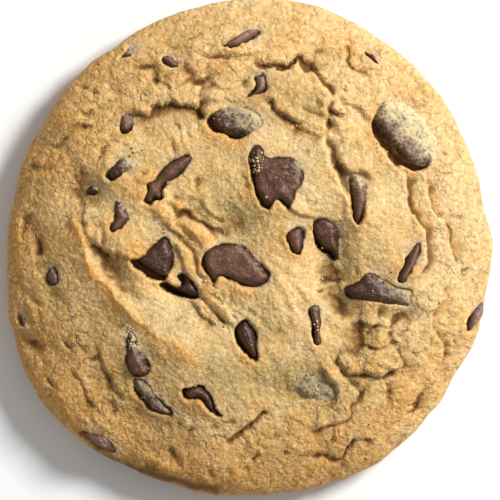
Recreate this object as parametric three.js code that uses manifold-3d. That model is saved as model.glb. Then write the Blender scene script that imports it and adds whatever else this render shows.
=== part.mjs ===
// A thick, soft-baked chocolate chip cookie: one folded and cracked piece of dough, with the chips sunk in its top.
// Millimetres, +Z up. The origin lies on the surface that the cookie rests on, under the middle of its outline.
// Seen from above, X runs to the right and Y runs up. Headings are degrees, counter-clockwise from +X.

import * as THREE from "three";
import { mergeVertices } from "three/addons/utils/BufferGeometryUtils.js";
import Module from "manifold-3d";

// Driving sizes of the dough
const MEAN_RADIUS = 44.25; // of the outline seen from above, before its bulges
const CROWN_HEIGHT = 15.2; // of the smooth dome, before folds and cracks
const WIDEST_HEIGHT = 4.6; // of the widest point above the table
const FOOT_INSET = 2.4; // how far the foot draws in below the widest point
const FOOT_TURN = 70; // degrees that the belly turns through before it meets the table
const TOP_FLATNESS = 2.8; // exponent on the distance from the middle: a larger one is flatter on top
const SHOULDER_FULLNESS = 1.75; // exponent on the height: a larger one has a rounder shoulder

// Driving sizes of the chips
const CHIP_TUCK = 0.8; // how far a chip runs on under the dough round its mouth
const CHIP_THICKEST = 5.6;
const CHIP_THINNEST = 3.0;
const CHIP_ROUNDNESS = 0.75; // a chip's half thickness beside its half width, tuck included
const CHIP_GAP = 0.3; // clearance between a chip and its pocket

// Fineness of the dough's skin
const GRID_CELLS = 256; // a power of two
const SKIN_TOLERANCE = 0.48; // how far a triangle of the skin may stand off the true surface
const RIM_CARE = 2.4; // how many times closer the skin is followed from the shoulder down
const PROFILE_STEPS = 240; // of the section, from the crown to the widest point
const HALVINGS = 40; // in the search for a chip's place on the section

const DEGREE = Math.PI / 180;
const FULL_TURN = 2 * Math.PI;

const doughMaterial = new THREE.MeshStandardMaterial({
  color: 0xbe9b66,
  roughness: 0.88,
  metalness: 0,
});
const chocolateMaterial = new THREE.MeshStandardMaterial({
  color: 0x4b3228,
  roughness: 0.45,
  metalness: 0,
});

// The outline isn't round: each bulge pushes it out, or in where negative, around a heading.
const OUTLINE_BULGES = [
  { heading: 80, out: 1.4, spread: 26 },
  { heading: 216, out: 2.6, spread: 25 },
  { heading: 262, out: 0.9, spread: 18 },
  { heading: 298, out: 1.3, spread: 20 },
  { heading: 20, out: -0.9, spread: 14 },
  { heading: 148, out: -0.4, spread: 10 },
  { heading: 328, out: -0.5, spread: 7 },
];

function outlineRadius(angle) {
  let radius = MEAN_RADIUS;
  for (const bulge of OUTLINE_BULGES) {
    const turn = angle - bulge.heading * DEGREE;
    const away = turn - FULL_TURN * Math.round(turn / FULL_TURN);
    radius += bulge.out * Math.exp(-((away / (bulge.spread * DEGREE)) ** 2));
  }
  return radius;
}

// Height of the smooth dome at a share of the outline's radius: a flattened, round-shouldered curve.
function domeHeight(share) {
  const fall = 1 - Math.min(1, share) ** TOP_FLATNESS;
  return (
    WIDEST_HEIGHT +
    (CROWN_HEIGHT - WIDEST_HEIGHT) * fall ** (1 / SHOULDER_FULLNESS)
  );
}

// Half of the cookie's section, from the crown over the shoulder and down the belly to the foot.
// Each point has its distance out at the mean radius, its height, and its place along the skin from 0 to 1.
function sectionProfile() {
  const points = [];
  for (let i = 0; i <= PROFILE_STEPS; i++) {
    const share = Math.sin((i / PROFILE_STEPS) * (Math.PI / 2));
    points.push({ out: share * MEAN_RADIUS, height: domeHeight(share) });
  }
  const bellySteps = PROFILE_STEPS / 4;
  for (let i = 1; i <= bellySteps; i++) {
    const turn = (i / bellySteps) * FOOT_TURN * DEGREE;
    const drawnIn = (1 - Math.cos(turn)) / (1 - Math.cos(FOOT_TURN * DEGREE));
    const down = Math.sin(turn) / Math.sin(FOOT_TURN * DEGREE);
    points.push({
      out: MEAN_RADIUS - FOOT_INSET * drawnIn,
      height: WIDEST_HEIGHT * (1 - down),
    });
  }
  let length = 0;
  points.forEach((point, i) => {
    if (i > 0)
      length += Math.hypot(
        point.out - points[i - 1].out,
        point.height - points[i - 1].height,
      );
    point.along = length;
  });
  for (const point of points) point.along /= length;
  return points;
}

const SECTION = sectionProfile();
const WIDEST_ALONG = SECTION[PROFILE_STEPS].along;

// The section at a place along the skin: distance out, height, and the direction that the skin faces.
function sectionAt(along) {
  let low = 0;
  let high = SECTION.length - 1;
  while (high - low > 1) {
    const middle = (low + high) >> 1;
    if (SECTION[middle].along <= along) low = middle;
    else high = middle;
  }
  const a = SECTION[low];
  const b = SECTION[high];
  const blend = (along - a.along) / (b.along - a.along);
  const run = b.out - a.out;
  const drop = a.height - b.height;
  const step = Math.hypot(run, drop);
  return {
    out: a.out + blend * run,
    height: a.height - blend * drop,
    facingOut: drop / step,
    facingUp: run / step,
  };
}

function smoothStep(from, to, value) {
  const t = Math.min(1, Math.max(0, (value - from) / (to - from)));
  return t * t * (3 - 2 * t);
}

// Folds, ledges and cracks. Each follows a smooth path across the top. Going along the path, "left" and "right" say
// how far the dough beside it stands up or sinks, over leftReach and rightReach, and "split" cuts a crack of
// splitWidth along the path itself, or raises a rounded crest where it is negative.
const FOLDS = [
  // the long crease in which the left side folds under the middle, and the crest that runs beside it
  {
    path: [[-33.6, 11.4], [-30.2, 7.6], [-29.4, 3], [-25.6, -1.6], [-20.4, -3.4], [-15.9, -7.2], [-6, -14.8]],
    left: 1.0, leftReach: 5, right: -1.9, rightReach: 3.4, split: 0.6, splitWidth: 0.8,
  },
  {
    path: [[-32.4, 6], [-29.6, -1.5], [-25, -8.4], [-18.5, -14.6], [-12.5, -18.6], [-10.5, -24]],
    split: -1.7, splitWidth: 3.2,
  },
  // the ledge along the foot of the upper left part
  {
    path: [[-24.5, 24], [-18.3, 24.2], [-15.4, 26.2], [-12.5, 25.6], [-9.6, 25.2], [-7.4, 22.8]],
    left: 1.0, leftReach: 4, right: -1.3, rightReach: 4, split: 0.4, splitWidth: 0.7,
  },
  // the wide crack round the tongue at the top, and the overhang along the tongue's foot
  {
    path: [[0.6, 33.6], [3.5, 33.1], [6.6, 33], [8.7, 34.3], [10.3, 32.5], [12.8, 30.7], [14.7, 28.4], [14.2, 22.6]],
    left: -0.2, leftReach: 2, right: 0.5, rightReach: 4, split: 1.8, splitWidth: 0.8,
  },
  {
    path: [[1.8, 27], [4.5, 25.3], [7, 23.7], [10, 22.9]],
    left: 1.1, leftReach: 5, right: -1.1, rightReach: 3, split: 0.4, splitWidth: 0.6,
  },
  { path: [[9, 21.7], [11.8, 20.5], [14, 22.2]], left: 0.7, leftReach: 2.2, right: -0.3, rightReach: 1.6 },
  // the groove down the right edge of the middle, and the lobe beyond it
  {
    path: [[13, 20.2], [14.7, 17], [15.9, 12.8], [17.8, 10], [18.3, 4.5]],
    left: -1.5, leftReach: 1.9, right: 0.7, rightReach: 6,
  },
  {
    path: [[15.8, 16.2], [17.8, 13.6], [20.2, 13.8], [22.3, 12]],
    left: 0.9, leftReach: 3, right: -0.6, rightReach: 2, split: 0.4, splitWidth: 0.6,
  },
  { path: [[15.2, 27.4], [18, 25.7], [20.5, 23.5], [22.4, 21.6]], left: 0.4, leftReach: 2, split: 0.8, splitWidth: 0.6 },
  { path: [[6.6, 7.4], [8.8, 5.7], [12.6, 5.2]], left: 0.8, leftReach: 2.4, right: -0.5, rightReach: 2 },
  // the rings of creases near the right edge
  {
    path: [[23.2, 18.6], [26.8, 14.8], [29, 9], [31.3, 3.6], [32, -2.2], [30, -7.4]],
    left: 0.8, leftReach: 3.4, right: -0.8, rightReach: 2.4, split: 0.4, splitWidth: 0.6,
  },
  {
    path: [[32.3, 12.6], [33.3, 7.6], [35.4, 4.6], [36.5, 1], [38.1, -3.6]],
    left: 0.6, leftReach: 2.6, right: -0.7, rightReach: 2, split: 0.3, splitWidth: 0.6,
  },
  {
    path: [[37, -4.2], [35.3, -8.4], [33.2, -11.2], [33.4, -15], [35.5, -18], [34.3, -22.3]],
    left: 0.6, leftReach: 2.6, right: -0.7, rightReach: 2, split: 0.3, splitWidth: 0.6,
  },
  // the lumps and cracks of the lower right
  {
    path: [[28.4, -13.2], [25.6, -15], [25.4, -18.4], [28.2, -22]],
    left: 0.7, leftReach: 3, right: -0.6, rightReach: 2, split: 0.8, splitWidth: 0.7,
  },
  {
    path: [[14.4, -20.8], [17.4, -21.6], [19.6, -23.3], [23, -23.2], [25.4, -22.4]],
    left: 0.7, leftReach: 3, right: -0.8, rightReach: 2, split: 0.5, splitWidth: 0.7,
  },
  {
    path: [[9.7, -32.2], [11.4, -33.7], [13.2, -32.3], [16.2, -31.7], [18.3, -29.3]],
    left: 0.5, leftReach: 2.4, right: -0.2, rightReach: 2, split: 1.0, splitWidth: 0.7,
  },
  { path: [[16.4, -38], [18.6, -35.8], [18.8, -34.2]], split: 0.8, splitWidth: 0.7 },
  // the open crack at the bottom
  {
    path: [[-4.8, -35.8], [-1, -33.2], [0.8, -31.2], [3.6, -29.4]],
    left: 0.6, leftReach: 2.4, split: 1.4, splitWidth: 0.8,
  },
  // the arcs of the lower left
  { path: [[-33, -21.8], [-30.4, -25], [-28, -29]], left: 0.2, leftReach: 2, split: 0.7, splitWidth: 0.7 },
  { path: [[-28.4, -17.6], [-26.6, -22.6], [-23.4, -28.4]], left: 0.5, leftReach: 3, split: 0.9, splitWidth: 0.8 },
  // the crease of the upper left edge and the hollow on the left side
  {
    path: [[-36.2, 18.2], [-33.8, 20.2], [-31.6, 22.1], [-28.4, 22.2]],
    left: 0.8, leftReach: 3, right: -0.7, rightReach: 3, split: 0.5, splitWidth: 0.9,
  },
  { path: [[-41, 6.5], [-39.7, 3.5], [-38.2, -2]], split: 1.2, splitWidth: 1.7 },
  // the ridges across the top
  { path: [[-9.6, 34.8], [-4.7, 34.2], [1.4, 35]], left: 0.3, leftReach: 2, split: 0.9, splitWidth: 0.7 },
  { path: [[-8.3, 30.6], [-5.6, 29], [-3, 29.1], [0.2, 30.8]], left: 0.3, leftReach: 2, split: 0.7, splitWidth: 0.7 },
  { path: [[-18.6, 31.5], [-15.9, 29.6], [-14.4, 27.8]], split: 0.9, splitWidth: 0.9 },
  { path: [[-9.6, 27], [-5, 26.8], [-1, 26.8]], left: 0.6, leftReach: 2.2, right: -0.6, rightReach: 2 },
  // the fold between the two chips of the middle, and the split beside the lower left chips
  { path: [[-9.4, -7.8], [-7, -11.4], [-4.4, -13.7], [-2.6, -16]], split: 0.9, splitWidth: 0.8 },
  { path: [[-21.4, -24], [-19.8, -27], [-17, -29.4], [-14.2, -30.2]], split: 1.2, splitWidth: 0.9 },
].map((fold) => ({
  left: 0,
  right: 0,
  split: 0,
  leftReach: 1,
  rightReach: 1,
  splitWidth: 1,
  ...fold,
}));

const PATH_STEPS = 6; // straight steps between two points of a path
const REACHES_FELT = 3; // how many times its reach a fold is still felt
const END_TAPER = 0.16; // share of a fold's length over which it fades in and out
const STEP_WIDTH = 0.6; // how sharply the two sides of a fold part

for (const fold of FOLDS) {
  const curve = new THREE.SplineCurve(
    fold.path.map(([x, y]) => new THREE.Vector2(x, y)),
  );
  fold.points = curve.getPoints(PATH_STEPS * (fold.path.length - 1));
  const widestReach = Math.max(fold.leftReach, fold.rightReach, fold.splitWidth);
  fold.box = new THREE.Box2()
    .setFromPoints(fold.points)
    .expandByScalar(REACHES_FELT * widestReach);
}

// How far one fold lifts the skin at a place on the top.
function foldLift(fold, place) {
  if (!fold.box.containsPoint(place)) return 0;
  let nearest = Infinity;
  let side = 0;
  let along = 0;
  const steps = fold.points.length - 1;
  for (let i = 0; i < steps; i++) {
    const a = fold.points[i];
    const b = fold.points[i + 1];
    const runX = b.x - a.x;
    const runY = b.y - a.y;
    const offX = place.x - a.x;
    const offY = place.y - a.y;
    const share = Math.min(
      1,
      Math.max(0, (offX * runX + offY * runY) / (runX * runX + runY * runY)),
    );
    const distance = Math.hypot(offX - share * runX, offY - share * runY);
    if (distance < nearest) {
      nearest = distance;
      side = Math.sign(runX * offY - runY * offX);
      along = (i + share) / steps;
    }
  }
  const ends =
    smoothStep(0, END_TAPER, along) * smoothStep(0, END_TAPER, 1 - along);
  const towardsLeft = 0.5 + 0.5 * Math.tanh((side * nearest) / STEP_WIDTH);
  const onLeft = fold.left * Math.exp(-nearest / fold.leftReach);
  const onRight = fold.right * Math.exp(-nearest / fold.rightReach);
  const crack = fold.split * Math.exp(-((nearest / fold.splitWidth) ** 2));
  return ends * (towardsLeft * onLeft + (1 - towardsLeft) * onRight - crack);
}

// Broad swells of the dough, and hollows where the lift is negative: ellipses with a heading.
const SWELLS = [
  { x: -34, y: -8, heading: 100, length: 26, width: 14, lift: 0.7 },
  { x: 6, y: 16, heading: 20, length: 22, width: 18, lift: 0.9 },
  { x: -6, y: 36, heading: 0, length: 34, width: 14, lift: 0.8 },
  { x: 18, y: 20, heading: -50, length: 12, width: 8, lift: 0.8 },
  { x: 7, y: 29, heading: -30, length: 14, width: 9, lift: 0.7 },
  { x: -30, y: 18.5, heading: 10, length: 9, width: 7, lift: 0.9 },
  { x: 20, y: -20, heading: 0, length: 9, width: 6, lift: 0.8 },
  { x: -7, y: -27, heading: -30, length: 20, width: 12, lift: 0.6 },
  { x: 14.8, y: -23, heading: -70, length: 6, width: 3.5, lift: 0.8 },
  { x: -14, y: 21, heading: -10, length: 14, width: 8, lift: -0.6 },
  { x: -29.6, y: 9.4, heading: -25, length: 6.5, width: 3.6, lift: -2.2 },
  { x: -37.8, y: -7.4, heading: -60, length: 7, width: 3, lift: -1.6 },
  { x: -13.4, y: -7.9, heading: -14, length: 6.5, width: 2.6, lift: -2.4 },
  { x: -9, y: 25.6, heading: 70, length: 4, width: 2.6, lift: -1.4 },
  { x: -10, y: 29.8, heading: 5, length: 2.6, width: 1.4, lift: -1.2 },
  { x: 10.4, y: 33.4, heading: -50, length: 3.6, width: 3, lift: -1.2 },
  { x: -1, y: 7.4, heading: -20, length: 10, width: 6, lift: -0.7 },
  { x: 26.8, y: -11.6, heading: 20, length: 5, width: 3, lift: -1.2 },
  { x: -40.2, y: -17.4, heading: -35, length: 5, width: 2.4, lift: -1.0 },
  { x: 31.5, y: -27.8, heading: 60, length: 5, width: 2.4, lift: -0.8 },
];

// A place's distance from the middle of an ellipse, 1 on its edge.
function ellipseShare(ellipse, x, y) {
  const turn = ellipse.heading * DEGREE;
  const offX = x - ellipse.x;
  const offY = y - ellipse.y;
  const lengthways = offX * Math.cos(turn) + offY * Math.sin(turn);
  const bow = (ellipse.bow ?? 0) * (2 * lengthways / ellipse.length) ** 2;
  const across = offY * Math.cos(turn) - offX * Math.sin(turn) + bow;
  return Math.hypot(
    lengthways / (ellipse.length / 2),
    across / (ellipse.width / 2),
  );
}

// The chips, each by the middle, heading, length and width of what shows in its mouth. "deep" is how far its top
// lies below the dough round it, and "bow" bends it sideways at both ends.
const CHIPS = [
  { x: -1.8, y: 37.9, heading: 25, length: 7.2, width: 1.9, deep: 0.5 },
  { x: -14.7, y: 33.7, heading: -35, length: 3.3, width: 1.9, deep: 0.5 },
  { x: 1.5, y: 29.4, heading: 80, length: 3.6, width: 2.1, deep: 0.4 },
  { x: -22.9, y: 22.2, heading: 80, length: 3.8, width: 2.7, deep: 0.2 },
  { x: -3, y: 22.9, heading: -32, length: 10.6, width: 6, deep: 0.1 },
  { x: -23.8, y: 14.2, heading: 35, length: 5.6, width: 2.8, deep: 0.3 },
  { x: -14.8, y: 12.5, heading: 42, length: 10.4, width: 2, deep: 0.4 },
  { x: -23.9, y: 5.5, heading: 60, length: 6.2, width: 3, deep: 0.2 },
  { x: 4.7, y: 12.1, heading: 125, length: 10.4, width: 9, deep: 0.3 },
  { x: 19.6, y: 8.8, heading: -85, length: 9.4, width: 3, deep: 0.2 },
  { x: 28.9, y: 20.3, heading: -47, length: 13.2, width: 8, deep: 0 },
  { x: 8, y: 1.2, heading: -75, length: 5, width: 2.6, deep: 0.5 },
  { x: 13.9, y: 2.8, heading: -60, length: 8.4, width: 4.2, deep: 0.2 },
  { x: -2.8, y: -3, heading: -18, length: 12.4, width: 6.6, deep: 0.3 },
  { x: -17.3, y: -1.8, heading: 55, length: 7.2, width: 5, deep: 0.3 },
  { x: -12.2, y: -6.2, heading: -40, length: 3.2, width: 1.8, deep: 0.4 },
  { x: 29, y: -2.2, heading: 65, length: 6.2, width: 1.6, deep: 0.4 },
  { x: 23.1, y: -8, heading: -8, length: 12.4, width: 4.4, deep: 0 },
  { x: 12, y: -14.4, heading: -80, length: 6.8, width: 1.8, deep: 0.4 },
  { x: -0.7, y: -16.6, heading: -68, length: 7.4, width: 2.8, deep: 0.3 },
  { x: -36.2, y: -5.1, heading: -75, length: 4, width: 2.4, deep: 0.2 },
  { x: -41.5, y: -12.8, heading: -55, length: 3.2, width: 1.3, deep: 0.4 },
  { x: -20.5, y: -19.8, heading: -62, length: 6.4, width: 3.2, deep: 0.3 },
  { x: -16.8, y: -27.6, heading: -42, length: 5.6, width: 1.7, deep: 0.5 },
  { x: -8.6, y: -26.4, heading: -38, length: 8, width: 2, deep: 0.4, bow: 1.6 },
  { x: -27.6, y: -34.6, heading: -35, length: 6.8, width: 2.4, deep: 0.3 },
  { x: 40.9, y: -12.9, heading: 62, length: 4.6, width: 2.1, deep: 0.2 },
  { x: 22, y: 34.6, heading: -42, length: 3, width: 1.1, deep: 0.4 },
  { x: 12, y: -25.4, heading: -20, length: 7.6, width: 4, deep: 0.1 },
  { x: -21.8, y: 35.2, heading: 40, length: 3.8, width: 1.6, deep: 0.3 },
  { x: -28.6, y: 10.5, heading: -15, length: 2.8, width: 1.6, deep: 0.1 },
];

const MOUTH_MARGIN = 0.25; // how far a mouth's rim stands outside what shows of the chip
const MOUTH_FLOOR = 0.55; // how far down the chip's side its mouth reaches, as a share of its half thickness
const MOUTH_LIP = 0.5; // share of the mouth over which its wall goes down
const RIM_LIFT = 0.3; // how far the dough swells round a chip
const RIM_SPREAD = 0.45;

for (const chip of CHIPS) {
  chip.halfThickness = Math.min(
    CHIP_THICKEST / 2,
    Math.max(CHIP_THINNEST / 2, CHIP_ROUNDNESS * (chip.width / 2 + CHIP_TUCK)),
  );
  chip.mouth = {
    ...chip,
    length: chip.length + 2 * MOUTH_MARGIN,
    width: chip.width + 2 * MOUTH_MARGIN,
  };
  chip.mouthDepth = chip.deep + MOUTH_FLOOR * chip.halfThickness + MOUTH_MARGIN;
  chip.farthest = chip.length + chip.width;
}

// The dough opens into a steep-sided mouth over each chip, with a low swell round it.
function mouthLift(chip, x, y) {
  if (Math.hypot(x - chip.x, y - chip.y) > chip.farthest) return 0;
  const share = ellipseShare(chip.mouth, x, y);
  const inside = 1 - smoothStep(1 - MOUTH_LIP, 1, share);
  const swell = Math.exp(-(((share - 1) / RIM_SPREAD) ** 2));
  return RIM_LIFT * swell * (1 - inside) - chip.mouthDepth * inside;
}

function broadLift(x, y) {
  let lift = 0;
  for (const swell of SWELLS)
    lift += swell.lift * Math.exp(-(ellipseShare(swell, x, y) ** 2));
  const place = new THREE.Vector2(x, y);
  for (const fold of FOLDS) lift += foldLift(fold, place);
  return lift;
}

// Folds and mouths fade out over the shoulder, so that the belly below the widest point is smooth.
const SHOULDER_FADE = 0.84; // place along the skin where they start to fade
const BELLY_FADE = WIDEST_ALONG + 0.04; // and where they have gone

function skinFade(along) {
  return 1 - smoothStep(SHOULDER_FADE, BELLY_FADE, along);
}

// The skin at a heading and a place along the section, with what the folds and, if asked, the mouths do to it.
function skinPoint(angle, along, withMouths) {
  const section = sectionAt(along);
  const out = (section.out / MEAN_RADIUS) * outlineRadius(angle);
  const x = out * Math.cos(angle);
  const y = out * Math.sin(angle);
  const fade = skinFade(along);
  let lift = 0;
  if (fade > 0) {
    lift = broadLift(x, y);
    if (withMouths) for (const chip of CHIPS) lift += mouthLift(chip, x, y);
  }
  const facing = new THREE.Vector3(
    section.facingOut * Math.cos(angle),
    section.facingOut * Math.sin(angle),
    section.facingUp,
  );
  return {
    point: new THREE.Vector3(x, y, section.height).addScaledVector(
      facing,
      fade * lift,
    ),
    facing,
  };
}

// A square sheet of points laid over the dough: the square's middle is the crown and its edge is the foot.
// Squares about the middle become rings, so no triangle is pinched at the crown.
function sheetPoint(column, row) {
  const u = (2 * column) / GRID_CELLS - 1;
  const v = (2 * row) / GRID_CELLS - 1;
  const along = placeAlong(column, row);
  if (along === 0) return skinPoint(0, 0, true).point;
  const wide = Math.abs(u) > Math.abs(v);
  const turn = (Math.PI / 4) * (wide ? v / u : u / v);
  const half = (wide ? u : v) < 0 ? Math.PI : 0;
  return skinPoint(half + (wide ? turn : Math.PI / 2 - turn), along, true).point;
}

function placeAlong(column, row) {
  const fromMiddle = Math.max(
    Math.abs(column - GRID_CELLS / 2),
    Math.abs(row - GRID_CELLS / 2),
  );
  return fromMiddle / (GRID_CELLS / 2);
}

// Closed skin of the dough. The sheet is split into ever smaller right-angled triangles, only where the surface
// stands further than SKIN_TOLERANCE from the middle of a triangle's long side, and a flat fan closes the bottom.
function doughGeometry() {
  const side = GRID_CELLS + 1;
  const points = [];
  for (let row = 0; row < side; row++)
    for (let column = 0; column < side; column++)
      points.push(sheetPoint(column, row));
  const last = GRID_CELLS;
  const corner = { southWest: 0, southEast: last, northWest: last * side };
  const northEast = last * side + last;
  const halves = [
    [northEast, corner.southWest, corner.southEast],
    [corner.southWest, northEast, corner.northWest],
  ];
  const middleOf = (a, b) => {
    const column = ((a % side) + (b % side)) / 2;
    const row = (Math.floor(a / side) + Math.floor(b / side)) / 2;
    return row * side + column;
  };
  const levels = [halves];
  const depth = 2 * Math.log2(GRID_CELLS);
  for (let level = 1; level < depth; level++)
    levels.push(
      levels[level - 1].flatMap(([a, b, c]) => {
        const m = middleOf(a, b);
        return [
          [c, a, m],
          [b, c, m],
        ];
      }),
    );

  const misfit = new Float32Array(side * side);
  const flat = new THREE.Vector3();
  for (let level = depth - 1; level >= 0; level--)
    for (const [a, b, c] of levels[level]) {
      const m = middleOf(a, b);
      flat.addVectors(points[a], points[b]).multiplyScalar(0.5);
      const care = placeAlong(m % side, Math.floor(m / side)) > SHOULDER_FADE ? RIM_CARE : 1;
      let worst = Math.max(misfit[m], care * flat.distanceTo(points[m]));
      if (level < depth - 1)
        worst = Math.max(worst, misfit[middleOf(c, a)], misfit[middleOf(b, c)]);
      misfit[m] = worst;
    }

  const used = new Map();
  const positions = [];
  const triangles = [];
  const vertex = (index) => {
    if (!used.has(index)) {
      used.set(index, positions.length / 3);
      positions.push(...points[index].toArray());
    }
    return used.get(index);
  };
  const footEdge = [];
  const onEdge = (index) => {
    const column = index % side;
    const row = Math.floor(index / side);
    return column === 0 || row === 0 || column === last || row === last;
  };
  const sameEdge = (a, b) =>
    onEdge(a) &&
    onEdge(b) &&
    (a % side === b % side
      ? a % side === 0 || a % side === last
      : Math.floor(a / side) === Math.floor(b / side));
  const split = (a, b, c, level) => {
    const m = middleOf(a, b);
    if (level < depth && misfit[m] > SKIN_TOLERANCE) {
      split(c, a, m, level + 1);
      split(b, c, m, level + 1);
      return;
    }
    triangles.push(vertex(a), vertex(b), vertex(c));
    for (const [from, to] of [[a, b], [b, c], [c, a]])
      if (sameEdge(from, to)) footEdge.push([vertex(from), vertex(to)]);
  };
  for (const [a, b, c] of halves) split(a, b, c, 0);

  const hub = positions.length / 3;
  positions.push(0, 0, 0);
  for (const [from, to] of footEdge) triangles.push(to, from, hub);
  return new THREE.BufferGeometry()
    .setAttribute("position", new THREE.Float32BufferAttribute(positions, 3))
    .setIndex(triangles);
}

// Where a chip sits: its middle, and the directions along it, across it and out of the dough.
function chipSeat(chip) {
  const angle = Math.atan2(chip.y, chip.x);
  const out =
    (Math.hypot(chip.x, chip.y) / outlineRadius(angle)) * MEAN_RADIUS;
  let low = 0;
  let high = WIDEST_ALONG;
  for (let i = 0; i < HALVINGS; i++) {
    const middle = (low + high) / 2;
    if (sectionAt(middle).out < out) low = middle;
    else high = middle;
  }
  const { point, facing } = skinPoint(angle, low, false);
  const heading = new THREE.Vector3(
    Math.cos(chip.heading * DEGREE),
    Math.sin(chip.heading * DEGREE),
    0,
  );
  const across = new THREE.Vector3().crossVectors(facing, heading).normalize();
  const along = new THREE.Vector3().crossVectors(across, facing);
  point.addScaledVector(facing, -(chip.deep + chip.halfThickness));
  return new THREE.Matrix4()
    .makeBasis(along, across, facing)
    .setPosition(point);
}

// A softened drop: an egg, a little fuller at one end, flattened underneath and bowed where the chip is.
const CHIP_SIDES = 8;
const CHIP_RINGS = 5;
const CHIP_TAPER = 0.14; // how much narrower one end is than the middle
const CHIP_UNDERSIDE = 0.85; // how deep the flattened underside is beside the top
const BIG_CHIP = 4; // width from which a chip gets two more sides and one more ring
const SMALL_CHIP = 4.5; // length up to which it gets two fewer sides and one ring less

function chipGeometry(chip, grow) {
  const more = Number(chip.width >= BIG_CHIP) - Number(chip.length <= SMALL_CHIP);
  const sphere = new THREE.SphereGeometry(1, CHIP_SIDES + 2 * more, CHIP_RINGS + more);
  sphere.deleteAttribute("normal");
  sphere.deleteAttribute("uv");
  sphere.rotateZ(-Math.PI / 2); // poles at the two ends
  const geometry = mergeVertices(sphere);
  const halfLength = chip.length / 2 + CHIP_TUCK;
  const halfWidth = chip.width / 2 + CHIP_TUCK;
  const position = geometry.attributes.position;
  for (let i = 0; i < position.count; i++) {
    const lengthways = position.getX(i);
    const fuller = 1 - CHIP_TAPER * lengthways;
    const across = position.getY(i) * fuller;
    const up = position.getZ(i) * (position.getZ(i) < 0 ? CHIP_UNDERSIDE : 1);
    position.setXYZ(
      i,
      lengthways * (halfLength + grow),
      across * (halfWidth + grow) - (chip.bow ?? 0) * lengthways ** 2,
      up * (chip.halfThickness + grow),
    );
  }
  return geometry;
}

const wasm = await Module();
wasm.setup();

function solidOf(geometry) {
  return new wasm.Manifold(
    new wasm.Mesh({
      numProp: 3,
      vertProperties: new Float32Array(geometry.attributes.position.array),
      triVerts: new Uint32Array(geometry.index.array),
    }),
  );
}

function geometryOf(solid) {
  const mesh = solid.getMesh();
  return new THREE.BufferGeometry()
    .setAttribute(
      "position",
      new THREE.BufferAttribute(mesh.vertProperties, mesh.numProp),
    )
    .setIndex(new THREE.BufferAttribute(mesh.triVerts, 1));
}

const cookie = new THREE.Group();
let doughSolid = solidOf(doughGeometry());

CHIPS.forEach((chip, i) => {
  const seat = chipSeat(chip);
  const pocket = chipGeometry(chip, CHIP_GAP).applyMatrix4(seat);
  doughSolid = doughSolid.subtract(solidOf(pocket));
  const mesh = new THREE.Mesh(chipGeometry(chip, 0), chocolateMaterial);
  mesh.name = "chip_" + String(i + 1).padStart(2, "0");
  mesh.applyMatrix4(seat);
  cookie.add(mesh);
});

// Where a film of dough over a chip's edge comes loose, only the main piece is kept.
const [mainPiece] = doughSolid
  .decompose()
  .sort((a, b) => b.volume() - a.volume());
const dough = new THREE.Mesh(geometryOf(mainPiece), doughMaterial);
dough.name = "dough";
cookie.add(dough);

export default cookie;
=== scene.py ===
import itertools
import math

import bpy
import numpy as np
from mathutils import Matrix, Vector


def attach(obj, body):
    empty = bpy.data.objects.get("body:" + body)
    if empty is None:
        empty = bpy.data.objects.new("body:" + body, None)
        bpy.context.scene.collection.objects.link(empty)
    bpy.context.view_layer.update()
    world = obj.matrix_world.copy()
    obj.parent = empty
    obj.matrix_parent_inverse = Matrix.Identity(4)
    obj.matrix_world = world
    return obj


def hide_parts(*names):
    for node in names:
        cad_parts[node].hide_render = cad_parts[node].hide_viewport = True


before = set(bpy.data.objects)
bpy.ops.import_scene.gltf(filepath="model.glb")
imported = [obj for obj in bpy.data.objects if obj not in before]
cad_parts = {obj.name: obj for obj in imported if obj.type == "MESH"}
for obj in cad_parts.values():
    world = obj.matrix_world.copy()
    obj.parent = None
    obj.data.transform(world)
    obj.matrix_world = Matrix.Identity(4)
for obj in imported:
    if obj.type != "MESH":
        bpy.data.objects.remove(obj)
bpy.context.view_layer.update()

# The shape of the whole cookie.
# A ball of dough that slumped in the oven into a thick round: flat on the tray, round-shouldered, a little
# lopsided. Everything else is set on this smooth form. Lengths are millimetres until a mesh is made.
MEAN_RADIUS = 44.25  # of the outline seen from above, before its bulges
CROWN_HEIGHT = 13.0  # of the smooth dome, before its swells and folds
WIDEST_HEIGHT = 4.6  # of the widest point above the table
FOOT_INSET = 2.4  # how far the foot draws in below the widest point
FOOT_TURN = math.radians(70)  # that the belly turns through down to the table
TOP_FLATNESS = 2.8
SHOULDER_FULLNESS = 1.75
SECTION_STEPS = 960
METRES = 0.001

# heading in degrees, how far it pushes the outline out, and its spread in degrees
OUTLINE_BULGES = [
    (80, 1.4, 26),
    (216, 2.6, 25),
    (262, 0.9, 18),
    (298, 1.3, 20),
    (20, -0.9, 14),
    (148, -0.4, 10),
    (328, -0.5, 7),
    (124.5, -0.6, 2.5),
    (289.3, -0.5, 1.6),
]


def outline_radius(angle):
    """Mean radius, plus a bell curve on the angle for each bulge."""
    radius = np.full_like(angle, MEAN_RADIUS)
    for heading, out, spread in OUTLINE_BULGES:
        turn = angle - math.radians(heading)
        away = turn - 2 * math.pi * np.round(turn / (2 * math.pi))
        radius += out * np.exp(-((away / math.radians(spread)) ** 2))
    return radius


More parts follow.
